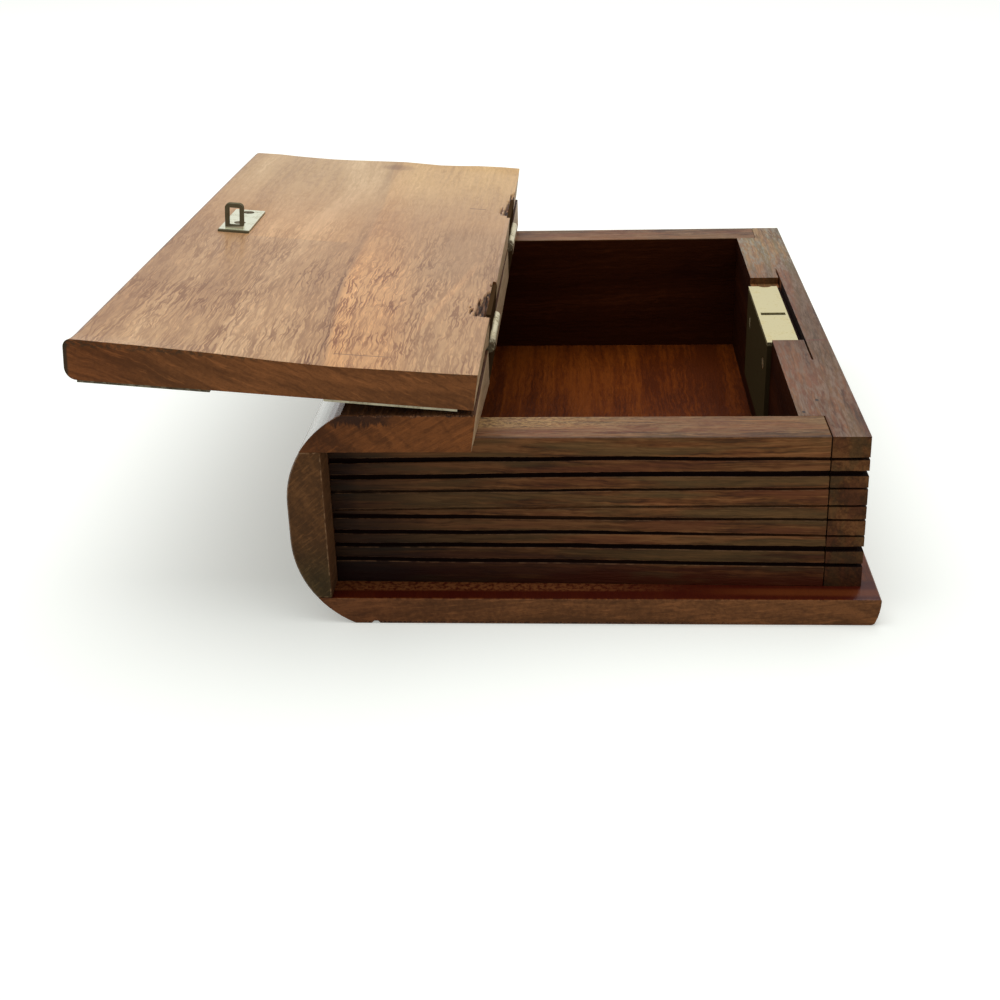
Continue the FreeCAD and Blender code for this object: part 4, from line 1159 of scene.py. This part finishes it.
def three_way(table, line, t):
    """A line's value in a table, from the spine through midway to the fore edge as t goes from 0 to 1."""
    first, middle, last = [row[line] for row in table]
    if t < 0.5:
        return first + (middle - first) * t * 2.0
    return middle + (last - middle) * (t * 2.0 - 1.0)


def stray(way, along, line, seed):
    size, waves, line_seed, wall_seed = way
    return size * noise.noise(Vector((along * waves, line * line_seed, seed + wall_seed)))


def sawn_height(z, along, t, seed):
    """Where a height on the even grooves goes, in mm, at a place along the wall."""
    knots = [(wall_low.z / MM, wall_low.z / MM), (wall_high.z / MM, wall_high.z / MM)]
    for i in range(LINES):
        line = three_way(SAWN_AT, i, t) + stray(WOBBLE, along, i, seed)
        kerf = three_way(SAWN_WIDE, i, t)
        even = LINE_TOP - LINE_PITCH * i
        knots.append((even + CAD_KERF[i] / 2, line + kerf / 2 + stray(RAGGED_LIP, along, i, seed)))
        knots.append((even - CAD_KERF[i] / 2, line - kerf / 2))
    knots.sort()
    for (low, low_to), (high, high_to) in zip(knots, knots[1:]):
        if low <= z <= high:
            return low_to + (high_to - low_to) * (z - low) / (high - low)
    return z


def boldness(z, t):
    """How boldly the groove at an even height in mm was cut, from a scratch near 0 to a full kerf at 1."""
    i = min(LINES - 1, max(0, round((LINE_TOP - z) / LINE_PITCH)))
    return three_way(SAWN_BOLD, i, t)


print(LINES, "page lines, the top one at", LINE_TOP, "mm")

# %% [markdown]
# ## The head and tail of the page block
# Each wall is sliced across its lines and sawn. A timid line is shallower, so its floor comes up to the
# skin. The head's wall leans out at its foot, and its joint at the fore edge has opened a little.

# %% Saw the head and the tail
WALL_EDGE = 0.15 * MM
WALL_SLICE = 1.4 * MM
KERF_SKIN = 0.3 * MM
KERF_DEEP = 1.4 * MM
KERF_LEAST = 0.2 * MM
SKIN = 4.0 * MM
FOOT_LEAN = 1.7
JOINT_FROM = 0.995
JOINT_GAP = 0.22
JOINT_STRAY = (0.2, 0.4)


def foot_lean(z, t):
    """How far the head's wall stands out at its foot, which grows from the spine to the fore edge."""
    return FOOT_LEAN * t * (wall_high.z - z) / (wall_high.z - wall_low.z) * MM


def is_rim(face):
    return face.normal.z > UPWARD and face.calc_center_median().z > wall_high.z - MM


def mark_kerfs(shape, depth_at, t_at):
    """Marks faces in a groove, behind the skin and not at the wall's top or foot, by its boldness."""
    kerf = shape.faces.layers.float["kerf"]
    for face in shape.faces:
        middle = face.calc_center_median()
        is_behind = KERF_SKIN / 2 < depth_at(middle) < KERF_DEEP
        if is_behind and wall_low.z + MM < middle.z < wall_high.z - MM:
            face[kerf] = boldness(middle.z / MM, t_at(middle))


def along_wall(x):
    return (x - wall_low.x) / (wall_high.x - wall_low.x)


def page_wall(node, name, seed, shift, inside_rule, leans):
    shape = solid_faces(node)
    break_edges(shape, WALL_EDGE, 1)
    slice_up(shape, 0, spread(wall_low.x, wall_high.x, WALL_SLICE))
    outside = max(abs(vertex.co.y) for vertex in shape.verts)
    mark_kerfs(shape, lambda place: outside - abs(place.y), lambda place: along_wall(place.x))
    for vertex in shape.verts:
        x, y, z = vertex.co
        t = along_wall(x)
        depth = outside - abs(y)
        if KERF_SKIN < depth < KERF_DEEP:
            shallow = (depth - KERF_LEAST) * (1.0 - boldness(z / MM, t))
            vertex.co.y += math.copysign(shallow, y)
        vertex.co.z = sawn_height(z / MM, x / MM, t, seed) * MM
        if leans and depth < SKIN:
            vertex.co.y -= foot_lean(vertex.co.z, t)
        if leans and t > JOINT_FROM:
            ragged = JOINT_STRAY[0] * noise.noise(Vector((seed, z / MM * JOINT_STRAY[1], 0.0)))
            vertex.co.x -= (JOINT_GAP + ragged) * MM
    flag(shape, "waxed", is_rim)
    piece_from(shape, name, "case", node, [(head_wood, None), (inside_wood, inside_rule)],
               ALONG_X, shift)


rear_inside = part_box("rear_wall")[0].y
page_wall("front_wall", "head_pages", 0.0, (0, 0, 0),
          lambda face: face.normal.y > SQUARE_ON and abs(face.center.y - wall_high.y) < TOUCH, True)
page_wall("rear_wall", "tail_pages", 50.0, (80, 500, 20),
          lambda face: face.normal.y < -SQUARE_ON and abs(face.center.y - rear_inside) < TOUCH, False)

# %% [markdown]
# ## The fore edge
# The same lines run on round the fore edge, so it uses the same tables, from their fore-edge end. Only
# its skin is moved, and the inside stays true for the lock. The walls of the lock's rebate are marked
# like a kerf, so they take its near-black tone.

# %% Saw the fore edge
FORE_SLICE = 2.0 * MM
FORE_SLANT = 0.35
SKIN_GAIN = 4.0
REBATE_MARGIN = 2 * MM
REBATE_DARK = 0.8
FORE_END_SHARE = 0.35
lock_low, lock_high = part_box("lock_plate")


def in_rebate(face):
    """A face round the lock: below the rim, behind the wall's inner face and in front of its outer one."""
    middle = face.calc_center_median()
    by_lock = (lock_low.y - REBATE_MARGIN < middle.y < lock_high.y + REBATE_MARGIN
               and middle.x < lock_high.x + REBATE_MARGIN)
    in_wall = middle.x > fore_low.x + MM or face.normal.x > -SQUARE_ON
    return by_lock and in_wall and lock_low.z - MM < middle.z < fore_high.z - TOUCH


def is_inside(face):
    return face.normal.x < -SQUARE_ON and abs(face.center.x - fore_low.x) < TOUCH


shape = solid_faces("fore_edge_wall")
break_edges(shape, WALL_EDGE, 1)
slice_up(shape, 1, spread(fore_low.y, fore_high.y, FORE_SLICE))
slice_up(shape, 0, spread(wall_high.x, fore_high.x, WALL_SLICE))
mark_kerfs(shape, lambda place: min(fore_high.x - place.x, fore_high.y - abs(place.y)), lambda place: 1.0)
for vertex in shape.verts:
    x, y, z = vertex.co
    near_skin = max(x - (fore_high.x - SKIN), abs(y) - (fore_high.y - SKIN)) / SKIN
    if near_skin > 0.0:
        t = min(1.0, max(0.0, 1.0 - (y - fore_low.y) / (fore_high.y - fore_low.y) * FORE_SLANT))
        along = (x if abs(y) > fore_high.y - SKIN else fore_high.x + y) / MM
        sawn = sawn_height(z / MM, along, t, 0.0) * MM
        vertex.co.z = z + (sawn - z) * min(1.0, near_skin * SKIN_GAIN)
    if y < fore_low.y + SKIN and x > wall_high.x - MM:
        vertex.co.y -= foot_lean(vertex.co.z, 1.0)
# The rebate's walls take the kerf's near-black tone
kerf = shape.faces.layers.float["kerf"]
for face in shape.faces:
    if in_rebate(face):
        face[kerf] = REBATE_DARK
flag(shape, "waxed", is_rim)
piece_from(shape, "fore_edge", "case", "fore_edge_wall",
           [(page_wood, None), (inside_wood, is_inside)], ALONG_Y, (20, 900, 0), end_share=FORE_END_SHARE)

# %% [markdown]
# ## Dirt and painted shade on brass
# Brass keeps its bright tone except where a rule darkens it. Each rule takes a place in mm and gives
# a mask: the hinges' leaves and the head ends of their barrels, the corner brass out on the open lid,
# the lock's plate below the rim, which is painted shade inside the box, and the staple's loop, with a
# painted shadow along its plate's near edge.

# %% Say where the dirt and painted shade are
BARREL_FADE = (1.3, 1.6)
BARREL_ENDS = (-54.2, 37.8)
BARREL_END_FADE = (3.6, 1.0)
FORE_PLATES = (-70.0, -78.0)
hinge_x = hinge_place.x / MM
hinge_z = hinge_place.z / MM
plate_top = lock_high.z / MM
loop_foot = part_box("staple_plate")[1].z / MM
staple_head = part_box("staple_plate")[0].y / MM


def off_the_barrel(place):
    x, y, z = place.parts()
    leaves = (((x - hinge_x) ** 2.0 + (z - hinge_z) ** 2.0) ** 0.5).step(*BARREL_FADE)
    ends = y.near(BARREL_ENDS[0], *BARREL_END_FADE) + y.near(BARREL_ENDS[1], *BARREL_END_FADE)
    return (leaves + ends * drawn(place, "barrel_smudge") * 0.8).step(0.0, 1.0)


def on_the_fore_side(place):
    return place.parts()[0].step(*FORE_PLATES) * (0.45 + drawn(place, "plate_smudge") * 0.3)


# Painted shade: the lock's plate below the rim, inside the box, is painted dark and dull
def shade_below_the_rim(place):
    return place.parts()[2].step(plate_top - 0.4, plate_top - 1.2) * 0.95


# The loop is dark brass; a dark band painted along the plate's near edge is a painted shadow
def loop_and_edge_shadow(place):
    x, y, z = place.parts()
    near_edge_shadow = y.step(staple_head + 1.3, staple_head + 0.8)
    return (z.step(loop_foot + 0.1, loop_foot + 0.5) + near_edge_shadow).step(0.0, 1.0) * 0.9


print("barrels lie at x", round(hinge_x, 1), "and z", round(hinge_z, 1), "mm")


# %% [markdown]
# ## Brass
# The lock's plate was filed bright. The hinges, the staple and the corner plates have turned dull in
# clouds. A mask of two noises mixes a bright and a dull metal. The dark mask, which is dirt in some
# places and painted shade in others, is not metal at all, so it takes the Metallic value away.

# %% Make the brass finishes
CLOUD_SHARE = 0.6
DULL_ROUGHNESS = 0.25
DIRT_AND_SHADE_ROUGHNESS = 0.3


def brass(name, bright, dull, roughness, fade, dirt_and_shade=None, dirt_and_shade_tone=(0.040, 0.024, 0.009)):
    """Brass with cloudy tarnish. A rule for dark marks takes the place in mm and gives a mask for a dark, dull
    tone, which is dirt in some places and painted shade in others.
    """
    material, start, fill = new_finish(name)
    place = start.add("ShaderNodeTexCoord", None, None, "Object").scaled((1 / MM, 1 / MM, 1 / MM))
    clouds = drawn(place, "tarnish") * CLOUD_SHARE + drawn(place, "brass_specks") * (1.0 - CLOUD_SHARE)
    tarnished = clouds.step(*fade)
    sockets = {"Base Color": tarnished.tint(opaque(bright), opaque(dull)), "Metallic": 1.0,
               "Roughness": roughness + tarnished * DULL_ROUGHNESS, "Specular IOR Level": 0.0}
    if dirt_and_shade:
        grime_and_shade = dirt_and_shade(place)
        sockets["Base Color"] = grime_and_shade.tint(sockets["Base Color"], opaque(dirt_and_shade_tone))
        sockets["Metallic"] = 1.0 - grime_and_shade
        sockets["Roughness"] = sockets["Roughness"] + grime_and_shade * DIRT_AND_SHADE_ROUGHNESS
    fill(sockets)
    return material


FINISH = {
    "lock_brass": brass("lock_brass", (0.54, 0.48, 0.26), (0.45, 0.38, 0.19), 0.38, (0.5, 0.7), shade_below_the_rim,
                        (0.030, 0.016, 0.004)),
    "staple_brass": brass("staple_brass", (0.64, 0.65, 0.50), (0.3, 0.27, 0.18), 0.35, (0.5, 0.7),
                          loop_and_edge_shadow, (0.085, 0.068, 0.030)),
    "hinge_brass": brass("hinge_brass", (0.62, 0.55, 0.36), (0.3, 0.24, 0.13), 0.4, (0.48, 0.68),
                         off_the_barrel, (0.055, 0.030, 0.013)),
    "corner_brass": brass("corner_brass", (0.34, 0.305, 0.215), (0.16, 0.132, 0.082), 0.45, (0.42, 0.70),
                          on_the_fore_side),
    "spring_steel": brass("spring_steel", (0.3, 0.3, 0.32), (0.1, 0.1, 0.11), 0.35, (0.5, 0.7)),
}
screw_brass = brass("screw_brass", (0.62, 0.55, 0.34), (0.3, 0.24, 0.13), 0.4, (0.48, 0.68))
for part in frame["record"]["subparts"]:
    if part["material_slot"] in FINISH:
        nodes[part["node"]].material_slots[0].material = FINISH[part["material_slot"]]
nodes["lock_screws"].material_slots[0].material = screw_brass
nodes["staple_screws"].material_slots[0].material = FINISH["corner_brass"]
print("brass finishes:", list(FINISH))
